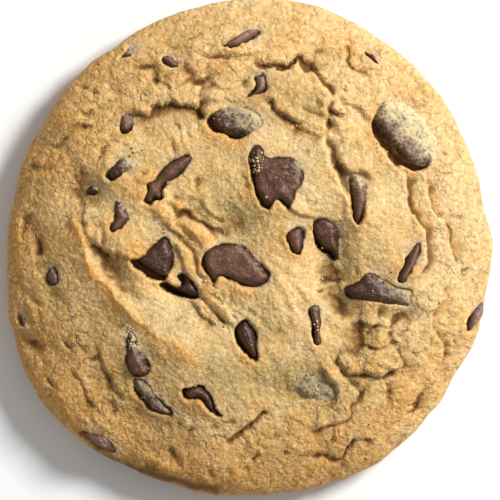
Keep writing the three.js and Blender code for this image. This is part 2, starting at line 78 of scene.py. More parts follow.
def half_section():
    """Crown to shoulder: height falls as (1 - share^flatness)^(1/fullness). Then the belly: a part turn of
    an ellipse down to the foot. Gives distance out, height, and the share of the skin's length, for each
    step."""
    share = np.sin(np.linspace(0, math.pi / 2, SECTION_STEPS + 1))
    fall = (1 - share**TOP_FLATNESS) ** (1 / SHOULDER_FULLNESS)
    turn = np.linspace(0, FOOT_TURN, SECTION_STEPS // 4 + 1)[1:]
    drawn_in = (1 - np.cos(turn)) / (1 - math.cos(FOOT_TURN))
    out = np.concatenate([MEAN_RADIUS * share, MEAN_RADIUS - FOOT_INSET * drawn_in])
    down = 1 - np.sin(turn) / math.sin(FOOT_TURN)
    height = np.concatenate([WIDEST_HEIGHT + (CROWN_HEIGHT - WIDEST_HEIGHT) * fall, WIDEST_HEIGHT * down])
    along = np.concatenate([[0], np.cumsum(np.hypot(np.diff(out), np.diff(height)))])
    return out, height, along / along[-1]


SECTION_OUT, SECTION_HEIGHT, SECTION_ALONG = half_section()
WIDEST_ALONG = SECTION_ALONG[SECTION_STEPS]


def smooth_skin(angle, along):
    """The smooth form at a heading and a share of the way from crown to foot: points and outward
    directions."""
    out = np.interp(along, SECTION_ALONG, SECTION_OUT)
    height = np.interp(along, SECTION_ALONG, SECTION_HEIGHT)
    slope_out = np.gradient(SECTION_OUT, SECTION_ALONG)
    slope_up = np.gradient(SECTION_HEIGHT, SECTION_ALONG)
    run = np.interp(along, SECTION_ALONG, slope_out)
    drop = -np.interp(along, SECTION_ALONG, slope_up)
    steep = np.hypot(run, drop)
    out = out / MEAN_RADIUS * outline_radius(angle)
    points = np.stack([out * np.cos(angle), out * np.sin(angle), height], axis=-1)
    facing = np.stack([drop / steep * np.cos(angle), drop / steep * np.sin(angle), run / steep], axis=-1)
    return points, facing


def place_on_skin(x, y):
    """Heading and share along the skin of a place on the top, seen from above."""
    angle = np.arctan2(y, x)
    out = np.hypot(x, y) / outline_radius(angle) * MEAN_RADIUS
    top = SECTION_STEPS + 1
    return angle, np.interp(out, SECTION_OUT[:top], SECTION_ALONG[:top])


def smooth_step(low, high, value):
    """0 below low, 1 above high, and 3t² - 2t³ between them."""
    t = np.clip((value - low) / (high - low), 0, 1)
    return t * t * (3 - 2 * t)


# Crumb structure.
# Flour, sugar and fat bake to a crumb of grains and pea-sized lumps. Both come from random values fixed to
# a lattice in space, so that they wrap round the shoulder and never slide.
OCTAVE_TURN = np.array([[0.36, 0.48, -0.8], [-0.8, 0.6, 0.0], [0.48, 0.64, 0.6]])
OCTAVE_HEIGHT = 0.55
CELL_FACTORS = (73856093, 19349663, 83492791)  # large and odd, so that near cells get unlike numbers
SEED_FACTOR = 2654435761
MIXING_FACTOR = 1274126177
KEPT_BITS = 0xFFFFFF


def cell_random(cell, seed):
    """A fixed random number from 0 to 1 for each cell of the lattice, by mixing the bits of its three
    indices."""
    mixed = seed * SEED_FACTOR
    for axis, factor in enumerate(CELL_FACTORS):
        mixed = mixed ^ cell[..., axis] * factor
    mixed = (mixed ^ (mixed >> 13)) * MIXING_FACTOR
    mixed = (mixed ^ (mixed >> 16)) & KEPT_BITS
    return mixed / KEPT_BITS


def noise(points, size, seed):
    """From -1 to 1: random values at lattice corners, blended between them by 6t⁵ - 15t⁴ + 10t³."""
    scaled = points / size
    corner = np.floor(scaled).astype(np.int64)
    t = scaled - corner
    blend = t * t * t * (t * (t * 6 - 15) + 10)
    total = np.zeros(points.shape[:-1])
    for step in itertools.product((0, 1), repeat=3):
        share = np.prod(np.where(step, blend, 1 - blend), axis=-1)
        total += share * cell_random(corner + step, seed)
    return 2 * total - 1


def rough_noise(points, size, seed, octaves):
    """Layers of noise, each at half the size and OCTAVE_HEIGHT of the height of the one before, turned
    against it."""
    total = np.zeros(points.shape[:-1])
    height = 1.0
    for octave in range(octaves):
        total += height * noise(points, size, seed + octave)
        points = points @ OCTAVE_TURN
        size /= 2
        height *= OCTAVE_HEIGHT
    return total


def billows(points, size, seed):
    """Rounded rolls with sharp creases between them: the size of noise without its sign, in two layers."""
    return np.abs(noise(points, size, seed)) + 0.5 * np.abs(noise(points @ OCTAVE_TURN, size / 2, seed + 1))


def lumps(points, size, seed):
    """Distances to the nearest and the second nearest of one random point in each lattice cell."""
    scaled = points / size
    corner = np.floor(scaled).astype(np.int64)
    nearest = np.full(points.shape[:-1], 9.0)
    second = nearest.copy()
    for step in itertools.product((-1, 0, 1), repeat=3):
        cell = corner + step
        middle = cell + np.stack([cell_random(cell, seed + axis) for axis in range(3)], axis=-1)
        away = np.linalg.norm(scaled - middle, axis=-1)
        second = np.minimum(second, np.maximum(nearest, away))
        nearest = np.minimum(nearest, away)
    return nearest, second


# Folds, ledges and cracks in the dough.
# As the cookie spreads, its skin sets, splits and slides over itself. Each fold follows a path: how far the
# dough stands up or sinks left and right of it, over which reach, and how deep and wide a crack runs along
# it.
FOLDS = [
    # path, left, left reach, right, right reach, split, split width
    # the long crease in which the left side folds under the middle, and the crest that runs beside it
    ([(-31.6, 10), (-30.4, 7.2), (-30, 5), (-29.6, 2.6), (-28.4, 0.9), (-26.6, -0.3), (-24.2, -1.3),
      (-22, -2.2), (-20, -3.4)], 0.6, 2.2, -0.38, 2, 0.2, 0.38),
    ([(-17.4, -6), (-15.6, -7.8), (-13, -9.2), (-11, -10.3), (-9.4, -11.8), (-7.6, -13.4), (-6, -14.8)], 0.45,
      2.2, -0.52, 4, 0.35, 0.38),
    # the cords that roll down between the chips of the middle
    ([(-15.4, 8.4), (-13.6, 7.1), (-12.2, 6.9), (-10.3, 5.4), (-8.6, 4), (-6.6, 3.1), (-5, 2.9)], 0.68, 1.4,
      -0.3, 1.2, 0.35, 0.38),
    ([(-17, 5.2), (-14.4, 3.4), (-12.4, 1.8), (-10.6, -0.4), (-9.8, -2.6), (-9.2, -5), (-7.8, -7.4)], 0.68,
      1.5, -0.3, 1.2, 0.35, 0.38),
    ([(-14, 1.4), (-13, -1.6), (-12, -4.2), (-10.2, -6.6), (-9.2, -8.6), (-7.8, -10.4)], 0.45, 1.3, -0.3, 1.2,
      0.3, 0.38),
    ([(-11.6, 10), (-9.6, 8.6), (-8.4, 6.8), (-6.4, 5.2), (-4.4, 4.4)], 0.52, 1.4, -0.22, 1.2, 0.25, 0.38),
    ([(-32.8, 8), (-31.6, 4.1), (-30.4, 1.2), (-29.2, -2.5), (-27.1, -5.6), (-25.2, -7.6), (-23.4, -10),
      (-21.1, -12.3), (-18.4, -14.5), (-16.1, -16.2), (-14, -17), (-12.3, -18.4), (-10.6, -20.8), (-8, -24)],
      2.0, 8, 2.0, 6, 0, 1),
    ([(-34, 9), (-31.6, 4.1), (-30.4, 1.2), (-29.2, -2.5), (-27.1, -5.6), (-25.2, -7.6), (-23.4, -10),
      (-21.1, -12.3), (-18.4, -14.5)], 0.9, 2.5, 0.9, 1.6, 0, 1),
    # the ledge along the foot of the upper left part
    ([(-24.5, 24), (-20.4, 24.2), (-18.3, 24.2), (-17.2, 25.6), (-14.2, 26.5), (-12.8, 25.6), (-10.5, 25.8),
      (-8.6, 24.6), (-7.4, 22.8)], 1.3, 2.4, -0.7, 3.5, 0.7, 0.4),
    # the wide crack round the tongue at the top, and the overhang along the tongue's foot
    ([(0.4, 33.8), (2.2, 32.8), (4, 32.9), (6.5, 32.5), (7.9, 33.6), (8.7, 34.8), (10, 33.4)], 0.3, 2, 0.6, 3,
      1.8, 0.5),
    ([(9, 34.4), (10.3, 32.4), (11.5, 32.4), (12.8, 30.7), (14.4, 28.4), (14.5, 26), (13.9, 22.6),
      (13.2, 20.6)], -0.5, 2, 0.7, 4, 0.7, 0.45),
    ([(1.6, 27), (3.8, 26.6), (4.6, 25.4), (6.2, 24.1), (8.2, 23), (10, 23)], 0.9, 3, -0.35, 1.6, 0.5, 0.4),
    ([(8.6, 22.4), (9.2, 21.6), (10.5, 20.7), (12.5, 20.4), (14, 22.2)], 0.9, 2.2, -0.4, 1.6, 0.3, 0.4),
    # the groove down the right edge of the middle, and the lobe beyond it
    ([(13, 20.2), (14.5, 17.6), (15.2, 15), (15.9, 12.6), (17.5, 10.6), (18.1, 8), (18.3, 4.5)], -1.7, 1.9,
      1.1, 5, 0.3, 0.45),
    ([(15.8, 16.2), (17, 14.4), (18.2, 13.4), (20.2, 13.8), (22.3, 12)], 1.0, 3, -0.6, 2, 0.3, 0.4),
    ([(15.2, 27.4), (16.4, 27.2), (18, 25.7), (19.4, 25.1), (20.5, 23.5), (22.4, 22.4)], 0.52, 2, -0.3, 2,
      0.35, 0.38),
    ([(6.6, 7.4), (7.6, 6.4), (8.8, 5.7), (12.6, 5.2)], 0.68, 2.4, -0.45, 2, 0.15, 0.38),
    # the trough between the middle and the right lobe
    ([(13, 5), (14.6, -1), (15.6, -7), (17, -14)], 0, 1, 0, 1, 2.0, 3.2),
    # the rings of creases near the right edge
    ([(22, 22), (23.5, 18.5), (26.8, 14.8), (28.3, 12.8), (28.8, 7.3), (30, 6), (31.5, 2.8), (32, -2.2),
      (31, -5), (29.8, -7.4)], -0.6, 1.6, 1.0, 3, 0.4, 0.35),
    ([(31.6, 14), (32.2, 12.2), (33.2, 8.5), (34, 6.2), (35.6, 4.6), (36.3, 1.5), (36.9, -0.8), (38.1, -3.6)],
      -0.35, 1.4, 0.5, 2.4, 0.3, 0.3),
    ([(37, -4.2), (36.2, -6.3), (35.2, -8.2), (34.6, -10.2), (33.2, -12.4), (33.6, -15.5), (35.4, -17.6),
      (34.8, -21), (33.6, -23.4)], -0.38, 1.4, 0.52, 2.4, 0.2, 0.3),
    # the lumps and cracks of the lower right
    ([(20, -10.4), (20, -13.1), (20.6, -13.8), (21.9, -14.3), (23.6, -14.2), (25, -14.4), (26, -13)], 0.83,
      1.8, -0.3, 1.4, 0.45, 0.38),
    ([(20.2, -14.6), (20.7, -16.6), (20, -17.7), (21.4, -17.8), (23, -18.1), (24.8, -17.8), (25.5, -16.4)],
      0.75, 1.8, -0.3, 1.4, 0.4, 0.38),
    ([(17.2, -18.2), (16.2, -19.4), (16, -20.9), (17.4, -22.8), (18.8, -23.3), (20.5, -22.9), (22, -23.5),
      (23.6, -23.5), (24.9, -22.4), (26.4, -21.5), (26.2, -19.6)], 1.12, 2.6, -0.45, 1.8, 0.5, 0.38),
    ([(29, -11.4), (27.2, -12), (26, -13.4), (25.4, -15), (25.6, -17.6), (26.9, -19.2), (27.7, -21.4),
      (26.6, -23.6)], -0.22, 1.4, 0.6, 2.6, 0.4, 0.38),
    ([(12.2, -21), (13, -22.6), (13.9, -23.8), (15.4, -25), (15.9, -26.8), (15.2, -28.2), (14.8, -29.6)],
      0.83, 2.2, -0.22, 2, 0.3, 0.38),
    ([(17.6, -23), (18.4, -25), (20, -26.6), (19.6, -27.8), (18.4, -28.6), (18.2, -30.4), (17, -31.6),
      (15, -32.3), (12.8, -33), (11.4, -33.4), (10.2, -32.6)], -0.38, 1.6, 0.6, 2.2, 0.45, 0.38),
    ([(7.6, -37.6), (10, -38.1), (12.8, -37.8), (15, -38.2), (17.1, -37.8), (18.2, -35.8), (19.8, -34.7),
      (22, -35), (24.2, -34)], 0.68, 2.2, -0.22, 1.6, 0.4, 0.38),
    ([(16.4, -38), (17.6, -37.2), (18.6, -35.8), (18.8, -34.2)], 0, 1, 0.38, 2, 0.4, 0.38),
    # the open crack at the bottom
    ([(-4.8, -35.8), (-3.2, -34.8), (-1.2, -33.4), (0.8, -31.2), (3.6, -29.4)], 0.45, 2.2, 0.22, 2, 1.05,
      0.52),
    # the arcs of the lower left
    ([(-33, -21.8), (-31, -24.2), (-29.9, -26.8), (-28, -29)], 0.38, 2.4, -0.15, 2, 0.3, 0.38),
    ([(-28.4, -17.6), (-27, -20.6), (-26.6, -22.6), (-24.5, -26.5), (-23.4, -28.4)], 0.45, 3, -0.22, 2, 0.35,
      0.45),
    # the crease of the upper left edge and the hollow on the left side
    ([(-36.2, 18.2), (-34.2, 20), (-31.6, 22.1), (-28.4, 22.2)], 0.6, 3, -0.52, 3, 0.25, 0.6),
    ([(-41, 6.5), (-39.7, 3.5), (-38.2, -2)], 0, 1, 0, 1, 0.5, 1.2),
    # the ridges across the top
    ([(-9.6, 34.8), (-6.5, 34.4), (-4.7, 34.2), (-1.6, 34.8), (1.4, 35)], 0.38, 2, -0.15, 2, 0.4, 0.38),
    ([(-8.3, 30.6), (-5.8, 28.9), (-3, 29.1), (0.2, 30.8)], 0.38, 2, -0.15, 2, 0.3, 0.38),
    ([(-18.6, 31.5), (-15.9, 29.6), (-14.4, 27.8)], 0.22, 2, 0, 1, 0.4, 0.52),
    ([(-9.6, 27), (-7.8, 26.6), (-5, 26.8), (-1, 26.8)], 0.52, 2, -0.38, 2, 0.1, 0.38),
    # the finger folds between the two chips of the middle, and the split beside the lower left chips
    ([(-9.4, -7.8), (-8.2, -10), (-6.4, -12), (-5.4, -13.4), (-3.2, -14.2), (-2.4, -16)], 0.22, 1.4, -0.15, 1,
      0.4, 0.41),
    ([(-21.4, -24), (-19.8, -27), (-17, -29.4), (-14.2, -30.2)], 0, 1, 0, 1, 0.84, 0.6),
]

# Fine cracks and slots: depth, width, and the path.
CRACKS = [
    (0.8, 0.5, [(-9.3, 34.7), (-6.5, 34.4), (-4.7, 34.3)]),
    (0.5, 0.4, [(-11.5, 34.8), (-10.2, 34.5)]),
    (0.5, 0.45, [(-16.5, 37.2), (-14.4, 36.4), (-12.8, 36)]),
    (0.4, 0.4, [(-12, 37.8), (-9, 38.7)]),
    (0.6, 0.45, [(-21.8, 32.7), (-19, 33.2), (-17.6, 33.1)]),
    (0.6, 0.5, [(-20, 28.3), (-18.8, 27.7)]),
    (0.5, 0.45, [(-9.2, 28.6), (-9.4, 27.2)]),
    (0.6, 0.5, [(-30.5, 24), (-28.4, 24.9)]),
    (0.7, 0.5, [(-27.7, 15), (-26.8, 17), (-26.3, 18.2), (-25.4, 18.5)]),
    (0.5, 0.45, [(-25.8, 20.5), (-25.4, 19.5)]),
    (0.5, 0.45, [(-31.2, 13.2), (-29.7, 13.6)]),
    (0.6, 0.6, [(-40, 15), (-38.4, 14.5), (-35, 15)]),
    (0.6, 0.45, [(-28, 28.8), (-28, 28), (-27, 28.1)]),
    (0.5, 0.45, [(-30.8, 28.9), (-29.5, 29)]),
    (0.6, 0.45, [(10.8, 35.3), (12.2, 35.6), (14.2, 35)]),
    (0.8, 0.5, [(16.5, 28.2), (17.2, 29)]),
    (0.8, 0.5, [(14.5, 24.6), (15.3, 24.5), (17.3, 23.9)]),
    (0.7, 0.6, [(17.7, 38), (18.3, 36), (17.9, 34.8), (18.4, 33.5), (20, 32), (21.5, 31.3)]),
    (0.6, 0.5, [(8.2, 9.7), (9.5, 9.3), (10.5, 8.3), (12, 8.3)]),
    (0.7, 0.6, [(-13.2, 6.8), (-11, 6.4)]),
    (0.9, 0.5, [(-14.4, 18.7), (-13.4, 17.2)]),
    (0.6, 0.45, [(-13.6, 22.5), (-13.2, 21.7)]),
    (0.6, 0.45, [(-11.8, 21.4), (-11.1, 20)]),
    (0.6, 0.45, [(-9.8, 12.4), (-9.5, 11.4)]),
    (0.5, 0.4, [(-9.2, 9.2), (-8.7, 8.4)]),
    (0.5, 0.4, [(-19.8, 14), (-19.3, 13)]),
    (0.5, 0.5, [(-1.8, 12.9), (-0.5, 12.6)]),
    (0.5, 0.5, [(-1.5, 11.6), (-0.5, 10.3)]),
    (0.5, 0.5, [(-5, 2.8), (-4.3, 1.8)]),
    (0.7, 0.5, [(-7.5, -8), (-6, -9.2), (-5, -10.3)]),
    (0.5, 0.4, [(-3.5, -9.5), (-2.5, -10.5)]),
    (0.5, 0.4, [(-3.8, -11.5), (-2.2, -13.2)]),
    (0.4, 0.4, [(-0.8, -11), (1, -12)]),
    (0.6, 0.5, [(-41.4, 6), (-41.2, 2.5)]),
    (0.5, 0.4, [(33.2, 13.6), (35.4, 13.4), (36.6, 14.1)]),
    (0.5, 0.4, [(32.8, 10.8), (34.8, 12.3)]),
    (0.4, 0.4, [(28.8, 12), (30.6, 12.5)]),
    (0.5, 0.45, [(36.3, 5.5), (38.5, 6)]),
    (0.5, 0.4, [(35, 18), (35.4, 17)]),
    (0.5, 0.4, [(29, 25.8), (31.5, 26)]),
    (0.5, 0.5, [(39.8, -3.5), (38.8, -5.3)]),
    (0.6, 0.45, [(26.8, -16), (28.5, -15.3)]),
    (0.5, 0.45, [(20.2, -15), (20.3, -17.5), (20, -17.9)]),
    (0.7, 0.5, [(14.7, -20.8), (17.5, -20.7)]),
    (0.8, 0.5, [(16.8, -21.5), (17.3, -22.8)]),
    (0.9, 0.5, [(18.5, -22.8), (20.2, -23.2), (21.3, -22.9), (23.5, -23.6)]),
    (0.9, 0.5, [(24, -23.3), (25.2, -22.4)]),
    (0.7, 0.5, [(25.6, -25), (25.7, -27), (25.3, -28.5)]),
    (0.8, 0.45, [(13.3, -25), (15.6, -25.2)]),
    (0.7, 0.5, [(12.7, -22.3), (13.8, -24)]),
    (0.6, 0.5, [(21.5, -25.3), (20.1, -27.7)]),
    (0.7, 0.5, [(20.9, -35), (22.1, -36.5)]),
    (0.6, 0.5, [(15, -34.8), (14.5, -36)]),
    (0.6, 0.5, [(10, -37.5), (12, -38.2)]),
    (0.6, 0.5, [(12.4, -40), (12.7, -41), (13.3, -40.7)]),
    (0.5, 0.45, [(8.1, -35), (9, -35.8)]),
    (0.5, 0.45, [(6.5, -36.7), (6.6, -37.6)]),
    (0.6, 0.5, [(1, -35.5), (3, -36.6)]),
    (0.6, 0.5, [(0.2, -38.5), (0.9, -37)]),
    (0.9, 0.6, [(33, -25), (31.5, -27), (31, -28.5), (30, -30), (29, -30.7)]),
    (0.8, 0.8, [(28.3, -34.4), (26.5, -36.5)]),
    (0.7, 0.4, [(13.6, -5.8), (16.3, -5.4)]),
    (0.6, 0.35, [(11.8, -7.6), (13, -7.6)]),
    (0.6, 0.45, [(19.2, -3.2), (19, -4.8)]),
    (0.6, 0.5, [(-8.9, -33.8), (-8, -33.6)]),
    (0.5, 0.5, [(-7.6, -33), (-6.2, -32.9)]),
    (0.5, 0.5, [(-5.7, -31.9), (-2.5, -31.8)]),
    (0.7, 0.5, [(-13.7, -32), (-12.8, -32.6)]),
    (0.6, 0.5, [(-11.5, -33.6), (-9.5, -33.3)]),
    (0.8, 0.5, [(-15.5, -37), (-14.4, -37.6), (-13.3, -39.6)]),
    (0.6, 0.5, [(-2, -36.6), (-1, -35.3)]),
    (0.8, 0.6, [(-19.5, -39.5), (-16, -40.2)]),
    (0.7, 0.5, [(-8, -40), (-7.4, -41.5)]),
    (0.7, 0.5, [(-4.5, -41.2), (-3.5, -40.3)]),
    (0.7, 0.5, [(-1.7, -40), (-0.4, -39.7), (0, -41.3)]),
    (0.7, 0.6, [(-26.2, -27.9), (-24.4, -30.3)]),
    (0.6, 0.5, [(-36.8, -23.3), (-35.2, -25.7)]),
    (0.6, 0.5, [(-37, -26.5), (-36, -26.3)]),
    (0.7, 0.5, [(-34.3, -17), (-32.2, -18.6)]),
    (0.5, 0.4, [(-34, -13.2), (-32.2, -12.8)]),
    (0.5, 0.5, [(-31.8, -16), (-31.3, -17.8), (-29.7, -19.2)]),
    (0.6, 0.5, [(-29.5, -20.7), (-28, -20)]),
]

# Broad swells, and hollows where the lift is negative: middle, heading, length, width, lift.
SWELLS = [
    (4, 11, 30, 26, 22, 2.35),
    (-31, -31, -45, 28, 10, 1.2),
    (-31, 27, 50, 24, 9, 0.7),
    (-22, 12, 45, 18, 22, 1.8),
    (-6, 36, 0, 34, 12, 0.8),
    (18, 20, -50, 12, 8, 0.8),
    (7, 28.6, -30, 14, 9, 0.6),
    (-30, 18, 10, 9, 7, 1.0),
    (22.5, 6, -65, 22, 9, 1.2),
    (20, -20, 0, 9, 6, 0.9),
    (19.5, -15.5, 80, 10, 6, -1.3),
    (-7, -27, -30, 20, 12, 0.6),
    (14.8, -23, -70, 6, 3.5, 0.8),
    (7, -10, -60, 16, 8, 0.9),
    (-30, 10, -25, 9, 5, -1.9),
    (-36.8, -6.2, -60, 6, 3.2, -1.2),
    (-25.4, -4.0, -52, 14, 4.8, -1.7),
    (-19.3, -7.6, -35, 7, 3, 0.7),
    (-13.4, -7.9, -14, 6.5, 2.6, -2.6),
    (-9, 25.6, 70, 4, 2.6, -1.2),
    (-10, 29.8, 5, 2.6, 1.4, -1.0),
    (10.4, 33.4, -50, 3.6, 3, -1.2),
    (-4, 4.6, -30, 12, 7, -1.3),
    (-9, -40, 0, 18, 8, 1.2),
    (26.5, -12, 10, 7, 3.4, -1.8),
    (9, -25.6, -12, 15, 6, -0.7),
    (-40.2, -17.4, -35, 5, 2.4, -0.8),
    (31.5, -27.8, 60, 5, 2.4, -0.8),
    (-38.6, -0.3, 80, 3.4, 2, -0.5),
    (-5.5, -5.8, 20, 2.6, 1.8, 0.8),
    (-14, -6.2, -20, 2.2, 1.6, 1.2),
    (-15, 6.2, -15, 5, 2.2, 0.8),
    (-10.2, 3, -35, 5.4, 2.4, 0.9),
    (-8, 6.2, -35, 4, 2.2, 0.7),
    (-12, 0.2, -55, 4.4, 2.2, 0.6),
    (-10.4, -4.6, -60, 5, 2, 0.5),
]

PATH_STEPS = 6  # straight steps between two points of a path
STEP_WIDTH = 0.35  # how sharply the two sides of a fold part
REACHES_FELT = 3.5  # how many times its reach a fold is still felt
FOLD_TAPER = 0.16  # share of a fold's length over which it fades in and out
CRACK_TAPER = 0.35
CRACK_END = 0.3  # depth at a crack's ends, as a share of its depth in the middle
CRACK_WIDTHS_FELT = 4
LIP_HEIGHT = 0.3  # of the low lips beside a crack, as a share of its depth
LIP_PLACE = 2.2  # how many widths out the lips stand
CREASE_FELT = 1.6  # distance up to which the nearest crease is told
FAINTEST_CREASE = 0.4


def curve_through(points, closed=False):
    """Catmull-Rom curve: each stretch leaves a point along the line between its two neighbours."""
    given = np.array(points, float)
    if closed:
        ringed = np.vstack([given[-1], given, given[:2]])
    else:
        ringed = np.vstack([given[0], given, given[-1]])
    t = np.linspace(0, 1, PATH_STEPS, endpoint=False)[:, None]
    a, b, c, d = (ringed[i : len(ringed) - 3 + i, None] for i in range(4))
    cubic = b + t * ((c - a) / 2 + t * (a - 2.5 * b + 2 * c - d / 2 + t * (1.5 * b - 1.5 * c + (d - a) / 2)))
    curve = cubic.reshape(-1, 2)
    return np.vstack([curve, curve[0] if closed else given[-1]])


def along_path(x, y, curve):
    """For each place: distance to the nearest straight step of the curve, the side it lies on (left is
    positive), and the share of the way along the curve."""
    nearest = np.full(x.shape, np.inf)
    side = np.zeros(x.shape)
    share_along = np.zeros(x.shape)
    steps = len(curve) - 1
    for i in range(steps):
        run = curve[i + 1] - curve[i]
        off_x = x - curve[i, 0]
        off_y = y - curve[i, 1]
        share = np.clip((off_x * run[0] + off_y * run[1]) / (run @ run), 0, 1)
        distance = np.hypot(off_x - share * run[0], off_y - share * run[1])
        closer = distance < nearest
        nearest = np.where(closer, distance, nearest)
        side = np.where(closer, np.sign(run[0] * off_y - run[1] * off_x), side)
        share_along = np.where(closer, (i + share) / steps, share_along)
    return nearest, side, share_along


def tapered(share, taper):
    """1 along a path, falling to 0 over the taper at both of its ends."""
    return smooth_step(0, taper, share) * smooth_step(0, taper, 1 - share)


def near(x, y, curve, reach):
    """Which places lie in the curve's box, grown by the reach."""
    low = curve.min(axis=0) - reach
    high = curve.max(axis=0) + reach
    return (x > low[0]) & (x < high[0]) & (y > low[1]) & (y < high[1])


def fold_lift(x, y, path, left, left_reach, right, right_reach, split, split_width):
    """Each side rises or sinks and fades as e^(-distance/reach), a tanh step parts the two sides, and a
    bell curve cuts the crack. All of it tapers at the path's ends."""
    lift = np.zeros(x.shape)
    curve = curve_through(path)
    felt = near(x, y, curve, REACHES_FELT * max(left_reach, right_reach, split_width))
    distance, side, share = along_path(x[felt], y[felt], curve)
    ends = tapered(share, FOLD_TAPER)
    leftness = 0.5 + 0.5 * np.tanh(side * distance / STEP_WIDTH)
    sides = leftness * left * np.exp(-distance / left_reach)
    sides += (1 - leftness) * right * np.exp(-distance / right_reach)
    lift[felt] = ends * (sides - split * np.exp(-((distance / split_width) ** 2)))
    return lift


def crack_lift(x, y, depth, width, path):
    """A bell-shaped cut along the path, deepest in the middle of it, with low lips at about twice its
    width."""
    lift = np.zeros(x.shape)
    curve = curve_through(path)
    felt = near(x, y, curve, CRACK_WIDTHS_FELT * width)
    distance, _, share = along_path(x[felt], y[felt], curve)
    lips = LIP_HEIGHT * np.exp(-((distance / width - LIP_PLACE) ** 2))
    ends = CRACK_END + (1 - CRACK_END) * tapered(share, CRACK_TAPER)
    lift[felt] = depth * (lips - ends * np.exp(-((distance / width) ** 2)))
    return lift


def crease_lines(x, y):
    """The nearest crease or crack: the distance to it, positive on its left, and how open it is, from 0 to
    1."""
    nearest = np.full(x.shape, CREASE_FELT)
    signed = np.full(x.shape, CREASE_FELT)
    opened = np.zeros(x.shape)
    paths = [(path, split) for path, *_, split, _ in FOLDS if split > 0]
    paths += [(path, depth) for depth, _, path in CRACKS]
    for path, depth in paths:
        curve = curve_through(path)
        felt = near(x, y, curve, CREASE_FELT)
        distance, side, share = along_path(x[felt], y[felt], curve)
        ends = tapered(share, FOLD_TAPER)
        closer = distance < nearest[felt]
        nearest[felt] = np.where(closer, distance, nearest[felt])
        signed[felt] = np.where(closer, side * distance, signed[felt])
        opened[felt] = np.where(closer, ends * min(1, FAINTEST_CREASE + depth), opened[felt])
    return signed, opened * smooth_step(CREASE_FELT, 0.5 * CREASE_FELT, nearest)


def ellipse_share(x, y, middle_x, middle_y, heading, length, width):
    """Distance from the middle of a turned ellipse, 1 on its edge."""
    turn = math.radians(heading)
    off_x = x - middle_x
    off_y = y - middle_y
    lengthways = off_x * math.cos(turn) + off_y * math.sin(turn)
    across = off_y * math.cos(turn) - off_x * math.sin(turn)
    return np.hypot(lengthways / (length / 2), across / (width / 2))


def ellipse_bell(x, y, ellipse, power=2):
    """1 in the middle of a turned ellipse, and e^-(share^power) away from it: a higher power has a flatter
    top."""
    return np.exp(-(ellipse_share(x, y, *ellipse) ** power))


def path_bell(x, y, width, path):
    """1 on a path, and a bell curve on the distance beside it."""
    bell = np.zeros(x.shape)
    curve = curve_through(path)
    felt = near(x, y, curve, 3 * width)
    distance, _, _ = along_path(x[felt], y[felt], curve)
    bell[felt] = np.exp(-((distance / width) ** 2))
    return bell


def broad_lift(x, y):
    """Swells as bell curves on ellipses, and then the folds."""
    lift = np.zeros(x.shape)
    for *ellipse, height in SWELLS:
        lift += height * ellipse_bell(x, y, ellipse)
    for fold in FOLDS:
        lift += fold_lift(x, y, *fold)
    return lift


